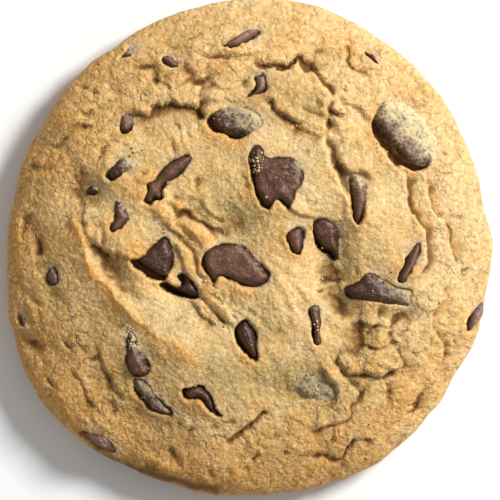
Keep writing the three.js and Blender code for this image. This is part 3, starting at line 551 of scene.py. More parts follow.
# The mouths through which the chips show.
# Each outline is the opening that the dough leaves over a chip. Deep is how far the chip's middle lies
# below the dough, gap how far the chip stands off the lower left edge, film how much dough stays on the
# chip, and bloom how violet grey the chocolate is, from -1 to 1. Below 0 the film is muddy with chocolate
# too.
MOUTHS = [
    (0.4, 0.2, 0.05, 0.9, [(-5.3, 36.6), (-4, 36), (-2.4, 36.1), (-1.2, 36.9), (0.2, 37.8), (1.2, 38.6),
        (2.2, 39.3), (0.8, 39.8), (-0.8, 39.6), (-2.4, 38.6), (-4, 37.7)]),
    (0.6, 0.3, 0.2, 0.4, [(-16.2, 34.4), (-15, 34.7), (-13.6, 33.7), (-13.2, 32.9), (-14.4, 32.7),
        (-15.8, 33.5)]),
    (0.3, 0.1, 0.1, 0.8, [(0.5, 31.2), (1.6, 31.3), (2.8, 31.6), (3, 30), (2.8, 28.6), (1.5, 27.6), (0, 27),
        (-1.2, 26.7), (-0.2, 27.9), (0.6, 28.8), (0.7, 30)]),
    (0.4, 0.3, 0.2, 0.4, [(-24.1, 23.2), (-23.9, 21.2), (-22.4, 20.7), (-21.4, 22), (-21.7, 23.9),
        (-23, 24.2)]),
    (0.3, 0.9, 0.78, -0.4, [(-7.9, 24), (-7.3, 21.9), (-5.6, 20.4), (-3.2, 19.8), (-0.8, 19.9), (1.2, 20.8),
        (2.4, 22.2), (2, 24), (0.3, 25.2), (-2, 25.8), (-4.6, 25.5), (-6.6, 25)]),
    (0.5, 0.4, 0.4, -0.2, [(-26, 13.8), (-24.6, 15.3), (-23, 16.2), (-21, 15.5), (-21.3, 14), (-22.6, 13.4),
        (-24.2, 12.2), (-25.5, 12.4)]),
    (0.3, 0.2, 0.0, 0.2, [(-10.4, 16.2), (-11.4, 16.9), (-13.2, 16.4), (-15, 15.2), (-16.4, 13.7),
        (-17.6, 12.4), (-19.1, 11.7), (-19, 10.4), (-19.6, 8.6), (-18.2, 7.6), (-17.4, 8.6), (-16.4, 8.3),
        (-15.7, 9.4), (-15.8, 10.6), (-14.6, 11.8), (-13, 13), (-11.2, 14.7)]),
    (0.3, 0.4, 0.2, 0.3, [(-24.3, 8.6), (-23.3, 7.6), (-22.2, 6.5), (-21.9, 5.2), (-23, 3.6), (-24.9, 2.4),
        (-25.8, 3.4), (-24.9, 5.2), (-24.6, 7)]),
    (0.1, 0.4, 0.22, -0.1, [(0.1, 14.5), (0.2, 12), (0.5, 10), (1.5, 8.2), (2.6, 7.2), (3.8, 7.2), (4.3, 8),
        (5, 8.4), (5.7, 8), (6.4, 7.2), (7.4, 6.7), (8.1, 8), (8.3, 9.9), (9.2, 11.2), (9.8, 12.6), (9.3, 15),
        (7.8, 16.3), (5, 16.4), (2.9, 16.4), (2.5, 17.8), (1.1, 18.6), (0, 17.6), (-0.3, 16.2)]),
    (0.3, 0.2, 0.35, 0.2, [(17.8, 13), (18.1, 9), (18.3, 5.6), (19.2, 3.9), (20.3, 5.4), (21.3, 8.4),
        (21.2, 11.4), (20.1, 13.1), (19, 13.6)]),
    (0.1, 2.0, 0.92, 0.15, [(22.2, 24.3), (23.6, 26), (26, 26.5), (28.6, 25.8), (31, 24), (33, 21.2),
        (34, 18.4), (33.4, 15.7), (31.4, 14), (29.2, 13.9), (26.4, 15.2), (24.2, 17.6), (22.4, 20),
        (21.6, 22.2)]),
    (0.5, 0.3, 0.1, 0.3, [(6.4, 2.5), (7.6, 3.6), (9, 3.8), (9.6, 2), (9.5, 0), (8.7, -1.3), (7.4, -0.8),
        (6.6, 0.6)]),
    (0.3, 0.5, 0.2, 0.0, [(10.9, 4.4), (11.6, 5.6), (13, 6.2), (14.6, 5.6), (15.8, 4), (16, 1.6), (16, -0.6),
        (15.6, -2.4), (14.3, -1), (12.8, -0.3), (11.5, 1.2), (10.9, 2.8)]),
    (0.1, 0.3, 0.1, 0.08, [(-8.9, -2.4), (-8.2, -0.6), (-6.6, 0.4), (-4.4, 0.9), (-2.2, 0.7), (-0.4, -0.2),
        (1, -1.7), (2.6, -3.5), (3.7, -5), (3.2, -6.2), (1.8, -7), (0, -7.1), (-1.8, -6.8), (-3.6, -6.3),
        (-4.9, -5.7), (-5.9, -5.9), (-6.3, -7.2), (-7.4, -6.1), (-8.5, -4.4)]),
    (0.8, 1.2, 0.0, -0.5, [(-21.8, -1.9), (-20, -1.4), (-18.8, -0.2), (-17.4, 1.1), (-16, 2.1), (-14.8, 1.7),
        (-14.2, 0), (-13.9, -1.8), (-14.4, -3.4), (-14.9, -5), (-15.6, -6.2), (-17.5, -5.7), (-19.6, -4.8),
        (-21.4, -3.5)]),
    (1.0, 1.6, 0.1, -0.3, [(-13.4, -4.9), (-12.2, -4.3), (-10.9, -5.2), (-9.8, -6.9), (-9.5, -8.6),
        (-10.4, -9.6), (-12.4, -9.3), (-14.4, -8.7), (-16.2, -7.8), (-16.9, -6.5), (-15.6, -5.9),
        (-14.6, -6.4), (-13.2, -7), (-12.7, -6.2)]),
    (0.2, 0.1, 0.0, 0.3, [(30.2, 1.2), (29, -0.4), (28, -2.6), (27, -4.4), (26.6, -6), (27.9, -6.5),
        (29.2, -4.6), (30.2, -2.4), (30.9, -0.2)]),
    (0.1, 0.4, 0.55, -0.3, [(16.9, -7.6), (17.9, -9.1), (20, -9.9), (24, -10.3), (28.5, -10.9), (29.4, -11),
        (29.6, -8.4), (29.5, -7.3), (26, -6.4), (23, -4.9), (21, -4.2), (19.8, -5.4), (18.6, -6.6)]),
    (0.4, 0.2, 0.1, 0.2, [(10.5, -10.9), (12.4, -10.7), (12.7, -13.5), (13, -16), (12.9, -17.8),
        (11.4, -17.7), (11.2, -15.4), (10.8, -13)]),
    (0.9, 0.4, -0.1, -0.8, [(-1.9, -13.3), (-0.7, -12.8), (0.4, -14.2), (1.1, -16.4), (1.5, -19.5),
        (1.1, -20.7), (-0.3, -20.2), (-1.6, -18.7), (-2.5, -17), (-2.8, -15)]),
    (0.3, 0.1, 0.2, 0.2, [(-36.2, -3), (-35.3, -4.2), (-34.8, -6.2), (-35.5, -7.1), (-37, -6.7),
        (-37.4, -5.2), (-36.8, -3.8)]),
    (0.5, 0.1, 0.3, 0.2, [(-42.5, -11.6), (-41.8, -11.4), (-41, -12.8), (-40.8, -14.2), (-41.5, -14),
        (-42.2, -12.9)]),
    (0.1, -0.1, 0.35, 0.0, [(-22.3, -15.2), (-21.1, -15.4), (-20.3, -17.2), (-19.5, -19.2), (-18.4, -21),
        (-18.1, -22.8), (-20, -23.3), (-21.9, -22.7), (-22.7, -20.4), (-22.5, -18)]),
    (0.7, 0.1, 0.62, -0.7, [(-21.4, -23.2), (-18.9, -23.8), (-17.4, -26), (-15.6, -28.2), (-13.7, -30),
        (-15, -30.8), (-17.4, -30.2), (-19.2, -28.8), (-20.6, -27), (-21.6, -25.2)]),
    (1.0, 0.1, 0.0, -0.4, [(-12.4, -26), (-11, -25), (-9.5, -24.8), (-8, -25.7), (-6.9, -27.1), (-6.3, -28.6),
        (-6.1, -29.8), (-5.2, -30.9), (-6.4, -30.9), (-7.6, -30), (-8.5, -29), (-9, -28.2), (-9.8, -27.8),
        (-11, -27.9), (-12, -27.4)]),
    (0.1, 0.1, 0.1, 0.25, [(-30.9, -33), (-29, -34.7), (-27.5, -35.8), (-25.8, -36.5), (-24.2, -37.2),
        (-24.6, -36), (-26.3, -33.9), (-28, -33.1), (-29.6, -32.6)]),
    (0.6, 0.1, 0.1, 0.9, [(39.6, -15.6), (41, -15), (42.4, -12.8), (42.9, -10.6), (42.2, -10), (41, -11.2),
        (39.9, -13)]),
    (0.4, 0.1, 0.1, 0.0, [(20.9, 35.8), (21.6, 35.5), (23.1, 34), (23.1, 33.5), (22, 34.2), (21, 35.2)]),
    (0.3, -0.3, 1.6, -0.7, [(8.3, -24), (10.5, -23.4), (13.2, -24), (15.2, -25.6), (15.4, -27.2),
        (13.4, -27.4), (11.4, -27.2), (9.4, -26.4), (8.2, -25.2)]),
    (0.6, 0.1, 0.9, -0.4, [(-23.5, 34.2), (-22.6, 35.6), (-21, 36.6), (-19.9, 36.9), (-20.6, 35.6),
        (-22, 34.5)]),
    (0.3, 0.1, 0.4, 0.0, [(-29.9, 10.4), (-29, 11.4), (-27.8, 11.2), (-27.3, 10.4), (-28.4, 9.9),
        (-29.4, 9.8)]),
]
MOUTH_LIP = 0.55  # width of a mouth's wall, seen from above
MOUTH_FLOOR = 1.9  # how far its floor lies below the chip's top
MOUTH_RIM_LIFT = 0.35
MOUTH_RIM_SPREAD = 1.2
SPREADS_FELT = 3
MOUTH_INSET = 0.45  # how far the dough laps over the chip at the upper right
FILM_INSET = 2.0  # and how far all round, for each 1 of film above 1
LIGHT_SIDE = np.array([0.72, 0.69])


def depth_inside(x, y, outline):
    """Distance from a closed curve, positive inside it. A place is inside where a ray to its right crosses
    the curve an odd number of times."""
    distance, _, _ = along_path(x, y, outline)
    inside = np.zeros(x.shape, bool)
    for (ax, ay), (bx, by) in zip(outline[:-1], outline[1:]):
        if ay != by:
            crosses = (ay > y) != (by > y)
            inside ^= crosses & (x < ax + (y - ay) / (by - ay) * (bx - ax))
    return np.where(inside, distance, -distance)


def mouth_lift(x, y, deep, film, outline):
    """Inside the outline the dough goes down steeply to a floor below the chip. At the lower left it swells
    a little outside, and at the upper right it thins out over the chip, so that the wall begins further in,
    as it does all round where the film is thicker than 1. Also gives how near the mouth's upper right side
    is, from 0 to 1."""
    lift = np.zeros(x.shape)
    smeared = np.zeros(x.shape)
    felt = near(x, y, outline, SPREADS_FELT * MOUTH_RIM_SPREAD)
    inside = depth_inside(x[felt], y[felt], outline)
    spokes = np.stack([x[felt], y[felt]], axis=-1) - outline.mean(axis=0)
    facing_up_right = spokes @ LIGHT_SIDE / np.linalg.norm(spokes, axis=-1)
    sheltered = smooth_step(-0.5, 0.6, facing_up_right)
    thinned = MOUTH_INSET * sheltered * smooth_step(-0.1, 0.5, film)
    opened = smooth_step(0, MOUTH_LIP, inside - thinned - FILM_INSET * max(film - 1, 0))
    closeness = np.exp(-((np.minimum(inside, 0) / MOUTH_RIM_SPREAD) ** 2))
    lift[felt] = MOUTH_RIM_LIFT * closeness * (1 - sheltered) * (1 - opened) - (deep + MOUTH_FLOOR) * opened
    smeared[felt] = closeness * sheltered
    return lift, smeared


# The baked dough.
# Butter-and-flour dough, pale gold and browner on crests, rim and underside, with painted light on the side
# towards the soft box and painted shade in its hollows, creases and the far side of its rim. One closed skin
# made on a square sheet of points whose middle is the crown and whose edge is the foot, with a flat bottom.
SHEET_CELLS = 300
SHOULDER_FADE = 0.84  # share of the way to the foot where folds and mouths start to fade
BELLY_FADE = WIDEST_ALONG + 0.04  # and where they have gone
CRUMB_FADE = 0.93  # where the crumb starts to fade, down to the foot


def square_sheet(cells):
    """A square of points wrapped onto the cookie: squares about the middle become rings. A point's share
    along the skin is its largest coordinate, and its heading runs evenly round its square."""
    step = np.linspace(-1, 1, cells + 1)
    u, v = np.meshgrid(step, step)
    along = np.maximum(np.abs(u), np.abs(v))
    wide = np.abs(u) > np.abs(v)
    longer = np.where(wide, u, v)
    safe = np.where(longer == 0, 1, longer)
    turn = math.pi / 4 * np.where(wide, v, u) / safe
    angle = np.where(wide, turn, math.pi / 2 - turn) + np.where(longer < 0, math.pi, 0)
    return angle, along


def blurred(sheet, reach):
    """Mean over a square of points, twice, which comes near a bell curve."""
    for axis in (0, 1, 0, 1):
        padded = np.pad(sheet, [(reach + 1, reach) if axis == a else (0, 0) for a in (0, 1)], mode="edge")
        summed = np.cumsum(padded, axis=axis)
        width = 2 * reach + 1
        count = sheet.shape[axis]
        high = np.take(summed, range(width, width + count), axis=axis)
        low = np.take(summed, range(count), axis=axis)
        sheet = (high - low) / width
    return sheet


angle, along = square_sheet(SHEET_CELLS)
skin, facing = smooth_skin(angle, along)
x, y = skin[..., 0], skin[..., 1]

# Torn edges: the places at which folds, mouths and cracks are looked up wander by a fraction of a
# millimetre.
EDGE_WANDER = 0.42
CRACK_WANDER = 0.6
CRACK_OPENNESS = 0.4
WANDER_LAYERS = [(2.6, 1.0), (1.1, 0.5), (0.6, 0.3)]  # size in mm, and share
wander_x, wander_y = (
    sum(share * noise(skin, size, seed + 2 * layer) for layer, (size, share) in enumerate(WANDER_LAYERS))
    for seed in (11, 12)
)
torn_x = x + EDGE_WANDER * wander_x
torn_y = y + EDGE_WANDER * wander_y

folded = broad_lift(torn_x, torn_y)
cracked = np.zeros(x.shape)
for crack in CRACKS:
    cracked += CRACK_OPENNESS * crack_lift(x + CRACK_WANDER * wander_x, y + CRACK_WANDER * wander_y, *crack)

# The dark line of painted shade in a crease comes and goes along it, in stretches of about 3 mm.
crease, creased = crease_lines(torn_x, torn_y)
creased *= 0.25 + 0.75 * smooth_step(-0.4, 0.4, noise(skin, 3.0, 95))

mouths = np.zeros(x.shape)
smear = np.zeros(x.shape)
for deep, _, film, _, points in MOUTHS:
    lift, smeared = mouth_lift(torn_x, torn_y, deep, film, curve_through(points, closed=True))
    mouths += lift
    smear = np.maximum(smear, smeared)

# Where the crumb is coarse: the lower right, the cords of the middle, and the rim. Middle, heading, length,
# width, and how much coarser.
COARSE = 0.54
COARSE_RIM = 0.1
COARSE_PARTS = [
    (22, -24, 30, 40, 24, 0.3),
    (-9, 6, -40, 18, 10, 0.35),
]
# Where it is smoother: the long slope, the left plateau, the lower left and the pale parts of the middle.
SMOOTHING = 0.6
SMOOTH_PARTS = [
    (-14, -12, -38, 30, 8),
    (-32, -8, 100, 30, 12),
    (-8, -26, -20, 24, 14),
    (8, -24, -10, 16, 8),
    (-2, 6, -20, 12, 6),
    (-14, 18, 40, 18, 13),
    (24, 6, -65, 20, 8),
]
# Where the dough rolled up into thick wrinkles.
ROLLING = 0.35
WRINKLING = 1.15
WRINKLED_PARTS = [
    (-10, 3, -45, 18, 9),
    (-6, -10, -50, 14, 7),
    (10, -10, -60, 14, 8),
    (-27, 1, -50, 10, 6),
    (14, 24, -60, 12, 8),
    (-12, 31, -10, 18, 7),
    (22, -15, 70, 14, 8),
]
SMEAR_CALM = 0.7  # how much of the relief is smeared flat where the dough laps over a chip
WEBBED_PART = (18, -20, 40, 30, 18)
from_middle = np.hypot(x, y)
coarse = COARSE + COARSE_RIM * smooth_step(28, 40, from_middle)
for *part, coarser in COARSE_PARTS:
    coarse += coarser * ellipse_bell(x, y, part)
for part in SMOOTH_PARTS:
    coarse *= 1 - SMOOTHING * ellipse_bell(x, y, part, 3)
coarse *= 1 - SMEAR_CALM * smear
rolling = ROLLING * coarse
for part in WRINKLED_PARTS:
    rolling += WRINKLING * ellipse_bell(x, y, part, 3)
webbed = smooth_step(24, 34, from_middle) + ellipse_bell(x, y, WEBBED_PART)

# The dough flowed outwards as it melted, so beyond the middle its wrinkles run round the cookie, and in the
# middle they run down to the right.
FLOW_STRETCH = 0.35
FLOW_TURN = math.radians(-50)
FLOW_WANDER = 0.4
WRINKLE_SIZE = 2.8
warp = np.stack([wander_x, wander_y, wander_x], axis=-1)
ringwise = np.stack([from_middle, FLOW_STRETCH * MEAN_RADIUS * angle, skin[..., 2]], axis=-1)
lengthways = x * math.cos(FLOW_TURN) + y * math.sin(FLOW_TURN)
across = y * math.cos(FLOW_TURN) - x * math.sin(FLOW_TURN)
down_right = np.stack([FLOW_STRETCH * lengthways, across, skin[..., 2]], axis=-1)
outer = smooth_step(18, 27, from_middle)
flow = outer * billows(ringwise + FLOW_WANDER * warp, WRINKLE_SIZE, 71)
flow += (1 - outer) * billows(down_right + FLOW_WANDER * warp, WRINKLE_SIZE, 81) - 0.5

# Lumps are domes with a sharp crease where two of them meet, in patches of about 9 mm. Their numbers: size
# and wander in mm, height of the middle, how far the dome falls, and how high and wide the step out of the
# crease is.
BIG_LUMPS = (4.2, 0.7, 0.5, 0.9, 0.7, 0.25)
SMALL_LUMPS = (2.1, 0.35, 0.3, 0.5, 0.3, 0.35)


def lumpy_relief(shifts, seed, size, wander, top, fall, step_height, step_width):
    """Top minus the fall times the distance squared, plus a root curve out of the crease."""
    nearest, second = lumps(skin + wander * shifts, size, seed)
    return top - fall * nearest**2 + step_height * np.sqrt(np.clip((second - nearest) / step_width, 0, 1))


big_lumps = lumpy_relief(warp, 21, *BIG_LUMPS)
small_lumps = lumpy_relief(warp[..., ::-1], 31, *SMALL_LUMPS)
patchy = smooth_step(-0.5, 0.4, noise(skin, 9.0, 91))
lumpy = 0.38 * patchy * big_lumps + 0.31 * (0.4 + 0.6 * patchy) * small_lumps
grain = 0.07 * rough_noise(skin, 1.0, 41, 2)
uneven = 0.4 * rough_noise(skin, 7.0, 51, 2)
calm = 1 - 0.6 * smooth_step(SHOULDER_FADE, CRUMB_FADE, along)
crumb = uneven + calm * (coarse * lumpy + rolling * (1 - SMEAR_CALM * smear) * flow + grain)

shoulder = 1 - smooth_step(SHOULDER_FADE, BELLY_FADE, along)
belly = 1 - smooth_step(CRUMB_FADE, 1.0, along)
relief = shoulder * (folded + cracked + mouths) + belly * crumb
top_points = skin + facing * relief[..., None]
top_points[..., 2] = np.maximum(top_points[..., 2], 0)

# Crests that stand above their surroundings read as toasted; hollows that lie below them are darkened with
# painted shade.
FINE_REACH = 3  # in cells of the sheet
BROAD_REACH = 9
FINE_STAND = 0.4  # mm above or below the surroundings that count in full
BROAD_STAND = 0.9
SOFT_BOX_SIDE = np.array([0.85, 0.52])
fine_stand = (relief - blurred(relief, FINE_REACH)) / FINE_STAND
broad_stand = (relief - blurred(relief, BROAD_REACH)) / BROAD_STAND
crest = np.clip(broad_stand, 0, 1)
hollow = np.clip(-0.7 * broad_stand - 0.5 * fine_stand, 0, 1)
toward_soft_box = (x * SOFT_BOX_SIDE[0] + y * SOFT_BOX_SIDE[1]) / MEAN_RADIUS
away_from_soft_box = smooth_step(0.6, -0.8, toward_soft_box)
# Painted light: the dough is paler towards the side that faces the soft box.
painted_light = smooth_step(-0.3, 0.9, toward_soft_box)
# The rim is browned all round and down to the foot, and browner on the side away from the soft box, which is
# painted shade.
rim = (0.15 + 0.85 * away_from_soft_box) * smooth_step(26, 45, from_middle) + 0.5 * smooth_step(0.86, 0.97, along)

# Pale cream patches on the slopes that face the soft box, painted light: middle, heading, length, width.
LIT_CREAM_STRENGTH = 1.3
LIT_CREAM_PATCHES = [
    (-14, -11.5, -38, 26, 7),
    (10, 15.5, -40, 15, 9),
    (35.5, 2, 80, 22, 8),
    (7, -8, -60, 14, 7),
    (12, -15, -85, 12, 6),
    (30, 19, -50, 12, 9),
]
for part in LIT_CREAM_PATCHES:
    painted_light += LIT_CREAM_STRENGTH * ellipse_bell(x, y, part)

# Toasted bands, where a thin edge caught the heat, and orange painted shade on the walls of the creases near
# the right edge that face away from the soft box: strength, width, and the path.
TOASTED_AND_SHADED_BANDS = [
    (1.0, 0.9, [(-32.2, 4.6), (-30.9, 1.2), (-29.7, -2.6), (-27.6, -5.9), (-25.7, -8), (-23.9, -10.4),
        (-21.5, -12.7), (-18.8, -15), (-16.4, -16.7), (-14, -17.6), (-12.2, -19), (-10.6, -21.4)]),
    (0.7, 0.9, [(23, 22), (24.5, 18.5), (27.8, 14.8), (29.3, 12.8), (29.8, 7.3), (31, 6), (32.5, 2.8),
        (33, -2.2)]),
    (0.7, 0.8, [(33, 12.2), (34, 8.5), (34.8, 6.2), (37, 1.5), (37.8, -0.8)]),
    (0.7, 0.8, [(36, -8.2), (35.4, -10.2), (34, -12.4), (34.4, -15.5), (36, -17.6)]),
    (0.8, 1.0, [(17.9, 38), (18.5, 36), (18.1, 34.8), (18.8, 33.5), (20.4, 32), (21.7, 31.3)]),
    (0.8, 1.0, [(8.5, 22.3), (9.2, 21.4), (10.5, 20.5), (12.5, 20.2), (13.4, 21)]),
    (0.8, 1.2, [(-11.5, 3.3), (-9.6, 2.4), (-7.5, 1)]),
    (0.7, 1.2, [(-15.5, 5.2), (-12, 4.5)]),
    (0.8, 1.1, [(-13.5, 7.8), (-11.5, 6.6), (-10, 5.6)]),
    (0.7, 1.0, [(-12.6, 2.2), (-11.4, 0.4)]),
    (0.6, 1.0, [(-8.4, 5.4), (-6.8, 4.4)]),
    (0.6, 1.6, [(-24, 25), (-20, 25.4), (-16, 27)]),
    (0.6, 2.5, [(-35, 15), (-30, 17), (-27, 16)]),
    (0.5, 5.0, [(10, -40), (26, -31), (35, -20)]),
    (0.4, 5.0, [(-20, 30), (-6, 33), (8, 36)]),
    (0.3, 5.0, [(-16, 38), (0, 41), (16, 38), (30, 28)]),
]
toast_and_wall_shade = np.zeros(x.shape)
for strength, width, path in TOASTED_AND_SHADED_BANDS:
    toast_and_wall_shade = np.maximum(toast_and_wall_shade, strength * path_bell(torn_x, torn_y, width, path))

# Dark brown bands, laid into the same values as the painted shade of the hollows: at the foot, over the torn
# chip of the lower left, and round the lower left and the bottom. Strength, width, and the path.
DARK_BROWN_BANDS = [
    (0.9, 1.1, [(-28, -36.2), (-24, -38.4), (-20, -40), (-16, -41.3), (-11, -42.6), (-6, -43.6)]),
    (0.55, 1.8, [(-21, -23.6), (-19.6, -26.4), (-17.4, -29), (-14, -30.4)]),
    (0.28, 6.0, [(-24, -34), (-6, -40), (10, -39), (20, -34)]),
    (0.25, 8.0, [(-34, -14), (-24, -24), (-12, -30)]),
]
for strength, width, path in DARK_BROWN_BANDS:
    hollow = np.maximum(hollow, strength * path_bell(torn_x, torn_y, width, path))

# Olive painted shade on patches that lie in shade: middle, heading, length, width, strength.
OLIVE_SHADE_PATCHES = [
    (-2, 6, -20, 14, 8, 1.0),
    (19, -3, -70, 12, 7, 0.7),
    (-37, -7, -60, 9, 5, 0.6),
    (22, -12, 0, 14, 6, 0.5),
    (19.5, -19, 20, 13, 8, 0.9),
    (8, 27, -30, 13, 8, 0.8),
    (-19, -25, -50, 17, 9, 1.0),
    (-16, -20, -40, 12, 6, 0.4),
    (-30, 10.5, -20, 8, 5, 0.4),
    (-25, 13, 45, 12, 6, 0.4),
    (8, -24.6, -15, 20, 8, 1.1),
    (-14, 30.5, -30, 7, 3, 0.5),
    (-23.4, -3.6, -50, 9, 5, 0.7),
    (-6, -23.5, -30, 16, 9, 0.8),
    (10.5, 33.5, 0, 4, 3, 0.6),
    (3, -16, -60, 12, 6, 0.4),
]
olive_shade = np.zeros(x.shape)
for *ellipse, strength in OLIVE_SHADE_PATCHES:
    olive_shade = np.maximum(olive_shade, strength * ellipse_bell(torn_x, torn_y, ellipse))

# What the skin tells its material, and what it says on the bottom.
SKIN_VALUES = {
    "crest": (crest, 0),
    "hollow": (hollow, 0.2),
    "rim": (rim, 1.3),
    "painted_light": (painted_light, 0),
    "toast_and_wall_shade": (toast_and_wall_shade * shoulder, 0),
    "olive_shade": (olive_shade * shoulder, 0),
    "smear": (smear * shoulder, 0),
    "cracking": (webbed, 0),
    "crease": (crease, CREASE_FELT),
    "creased": (creased * shoulder, 0),
}
BOTTOM_RINGS = [0.97, 0.9, 0.76, 0.56, 0.32, 0.12]  # how far out each ring lies, as a share of the foot
BOTTOM_RELIEF = 0.25


def sheet_faces(cells):
    """Two-way grid of four-sided faces over the square sheet."""
    index = np.arange((cells + 1) ** 2).reshape(cells + 1, cells + 1)
    corners = [index[:-1, :-1], index[:-1, 1:], index[1:, 1:], index[1:, :-1]]
    return np.stack(corners, axis=-1).reshape(-1, 4)


def sheet_edge(cells):
    """The sheet's outer points in order round it, counter-clockwise seen from above."""
    index = np.arange((cells + 1) ** 2).reshape(cells + 1, cells + 1)
    return np.concatenate([index[0, :-1], index[:-1, -1], index[-1, :0:-1], index[:0:-1, 0]])


def bottom_of(edge_points, first_index, edge_index):
    """Rings that shrink towards the middle of the flat bottom, with shallow pits that go up into the
    dough."""
    rings = [edge_points * [share, share, 0] for share in BOTTOM_RINGS]
    points = np.concatenate([*rings, np.zeros((1, 3))])
    pits = np.maximum(0, rough_noise(points, 3.0, 61, 3))
    points[:, 2] = BOTTOM_RELIEF * pits
    count = len(edge_points)
    loops = [edge_index]
    loops += [first_index + ring * count + np.arange(count) for ring in range(len(rings))]
    faces = []
    for outer, inner in zip(loops[:-1], loops[1:]):
        faces.append(np.stack([outer, inner, np.roll(inner, -1), np.roll(outer, -1)], axis=-1))
    middle = np.full(count, first_index + len(rings) * count)
    last = loops[-1]
    fan = np.stack([last, middle, np.roll(last, -1)], axis=-1)
    return points, np.concatenate(faces), fan


def make_mesh(name, points, quads, triangles, values):
    """A smooth-shaded mesh from arrays in millimetres, with one float attribute for each named value."""
    mesh = bpy.data.meshes.new(name)
    mesh.vertices.add(len(points))
    mesh.vertices.foreach_set("co", (points * METRES).astype(np.float32).ravel())
    corners = np.concatenate([quads.ravel(), triangles.ravel()]).astype(np.int32)
    mesh.loops.add(len(corners))
    mesh.loops.foreach_set("vertex_index", corners)
    starts = np.concatenate([np.arange(len(quads)) * 4, quads.size + np.arange(len(triangles)) * 3])
    mesh.polygons.add(len(starts))
    mesh.polygons.foreach_set("loop_start", starts.astype(np.int32))
    mesh.update(calc_edges=True)
    mesh.shade_smooth()
    for value_name, value in values.items():
        attribute = mesh.attributes.new(value_name, "FLOAT", "POINT")
        attribute.data.foreach_set("value", value.astype(np.float32).ravel())
    mesh.validate()
    piece = bpy.data.objects.new(name, mesh)
    bpy.context.scene.collection.objects.link(piece)
    return piece


edge = sheet_edge(SHEET_CELLS)
flat_points = top_points.reshape(-1, 3)
bottom_points, bottom_quads, bottom_fan = bottom_of(flat_points[edge], len(flat_points), edge)
baked_dough = make_mesh(
    "baked_dough",
    np.concatenate([flat_points, bottom_points]),
    np.concatenate([sheet_faces(SHEET_CELLS), bottom_quads]),
    bottom_fan,
    {
        name: np.append(sheet, np.full(len(bottom_points), below))
        for name, (sheet, below) in SKIN_VALUES.items()
    },
)


def linear(hex_colour):
    """sRGB hex to the linear red, green, blue and alpha that a shader takes."""
    channels = [int(hex_colour[i : i + 2], 16) / 255 for i in (1, 3, 5)]
    return (*[c / 12.92 if c <= 0.04045 else ((c + 0.055) / 1.055) ** 2.4 for c in channels], 1.0)


def add_node(tree, kind, settings=None, **inputs):
    """Adds a node, sets its properties, and sets or links its inputs by name, spaces written as
    underscores, or by number as input_0."""
    node = tree.nodes.new("ShaderNode" + kind)
    for key, value in (settings or {}).items():
        setattr(node, key, value)
    for key, value in inputs.items():
        number = key.removeprefix("input_")
        socket = node.inputs[int(number)] if number.isdigit() else node.inputs[key.replace("_", " ")]
        if isinstance(value, bpy.types.NodeSocket):
            tree.links.new(value, socket)
        else:
            socket.default_value = value
    return node


def new_material(name):
    """An empty node material and its tree."""
    material = bpy.data.materials.new(name)
    material.use_nodes = True
    material.node_tree.nodes.clear()
    return material, material.node_tree


def per_metre(size):
    """Scale of a noise texture on object coordinates whose features are this many millimetres wide."""
    return 1 / (size * METRES)


# Baked butter dough: dry, matt and porous. Pale gold, with paler sugar and flour grains, toasted on crests
# and rim. Painted light makes it paler towards the soft box, and painted shade makes it browner on the rim's
# far side, olive in shaded patches, and darker down in the hollows, cracks and creases.
crumb_material, tree = new_material("baked_butter_dough")
place = add_node(tree, "TexCoord").outputs["Object"]
value = {name: add_node(tree, "Attribute", {"attribute_name": name}).outputs["Fac"] for name in SKIN_VALUES}
weight = {}
for name, factor in (("painted_light", 0.4), ("rim", 0.8), ("olive_shade", 0.9), ("crest", 0.5)):
    weight[name] = add_node(
        tree, "Math", {"operation": "MULTIPLY", "use_clamp": True}, input_0=value[name], input_1=factor
    ).outputs[0]

# Uneven browning in patches of about 6 mm, which also frays the toasted edges.
patch = add_node(tree, "TexNoise", None, Vector=place, Scale=per_metre(6), Detail=5.0, Roughness=0.6)
patched = add_node(tree, "MapRange", None, Value=patch.outputs["Fac"], From_Min=0.35, From_Max=0.65)
# Toasted crests and bands, which include orange painted shade on some crease walls.
toasted_and_shaded = add_node(tree, "Math", {"operation": "MAXIMUM"}, input_0=weight["crest"], input_1=value["toast_and_wall_shade"])
ragged = add_node(
    tree, "MapRange", None, Value=patch.outputs["Fac"], From_Min=0.3, From_Max=0.6, To_Min=0.35
)
toast_and_shade_share = add_node(
    tree, "Math", {"operation": "MULTIPLY"}, input_0=toasted_and_shaded.outputs[0], input_1=ragged.outputs[0]
)
darkest_shade_and_browning = add_node(tree, "MapRange", None, Value=value["hollow"], From_Min=0.45, From_Max=1.0, To_Max=0.8)

# Chocolate rubbed thinly into the dough where it laps over a chip.
rubbed = add_node(tree, "TexNoise", None, Vector=place, Scale=per_metre(1.2), Detail=3.0, Roughness=0.6)
rubbed_share = add_node(
    tree, "MapRange", None,
    Value=rubbed.outputs["Fac"], From_Min=0.35, From_Max=0.65, To_Min=0.1, To_Max=0.75,
)
greyed = add_node(
    tree, "Math", {"operation": "MULTIPLY"}, input_0=value["smear"], input_1=rubbed_share.outputs[0]
)

# Sugar and flour grains. Real ones are 0.2 to 0.4 mm, and they are drawn at 0.6 mm to be larger than a
# pixel.
speckle = add_node(tree, "TexNoise", None, Vector=place, Scale=per_metre(0.6), Detail=2.0, Roughness=0.6)
whitened = add_node(
    tree, "MapRange", None, Value=speckle.outputs["Fac"], From_Min=0.52, From_Max=0.7, To_Max=0.5
)
raised = add_node(
    tree, "MapRange", None, Value=value["hollow"], From_Min=0.2, From_Max=0.7, To_Min=1.0, To_Max=0.15
)
pale_grain = add_node(
    tree, "Math", {"operation": "MULTIPLY"}, input_0=whitened.outputs[0], input_1=raised.outputs[0]
)
dark_grain = add_node(
    tree, "MapRange", None, Value=speckle.outputs["Fac"], From_Min=0.48, From_Max=0.3, To_Max=0.45
)

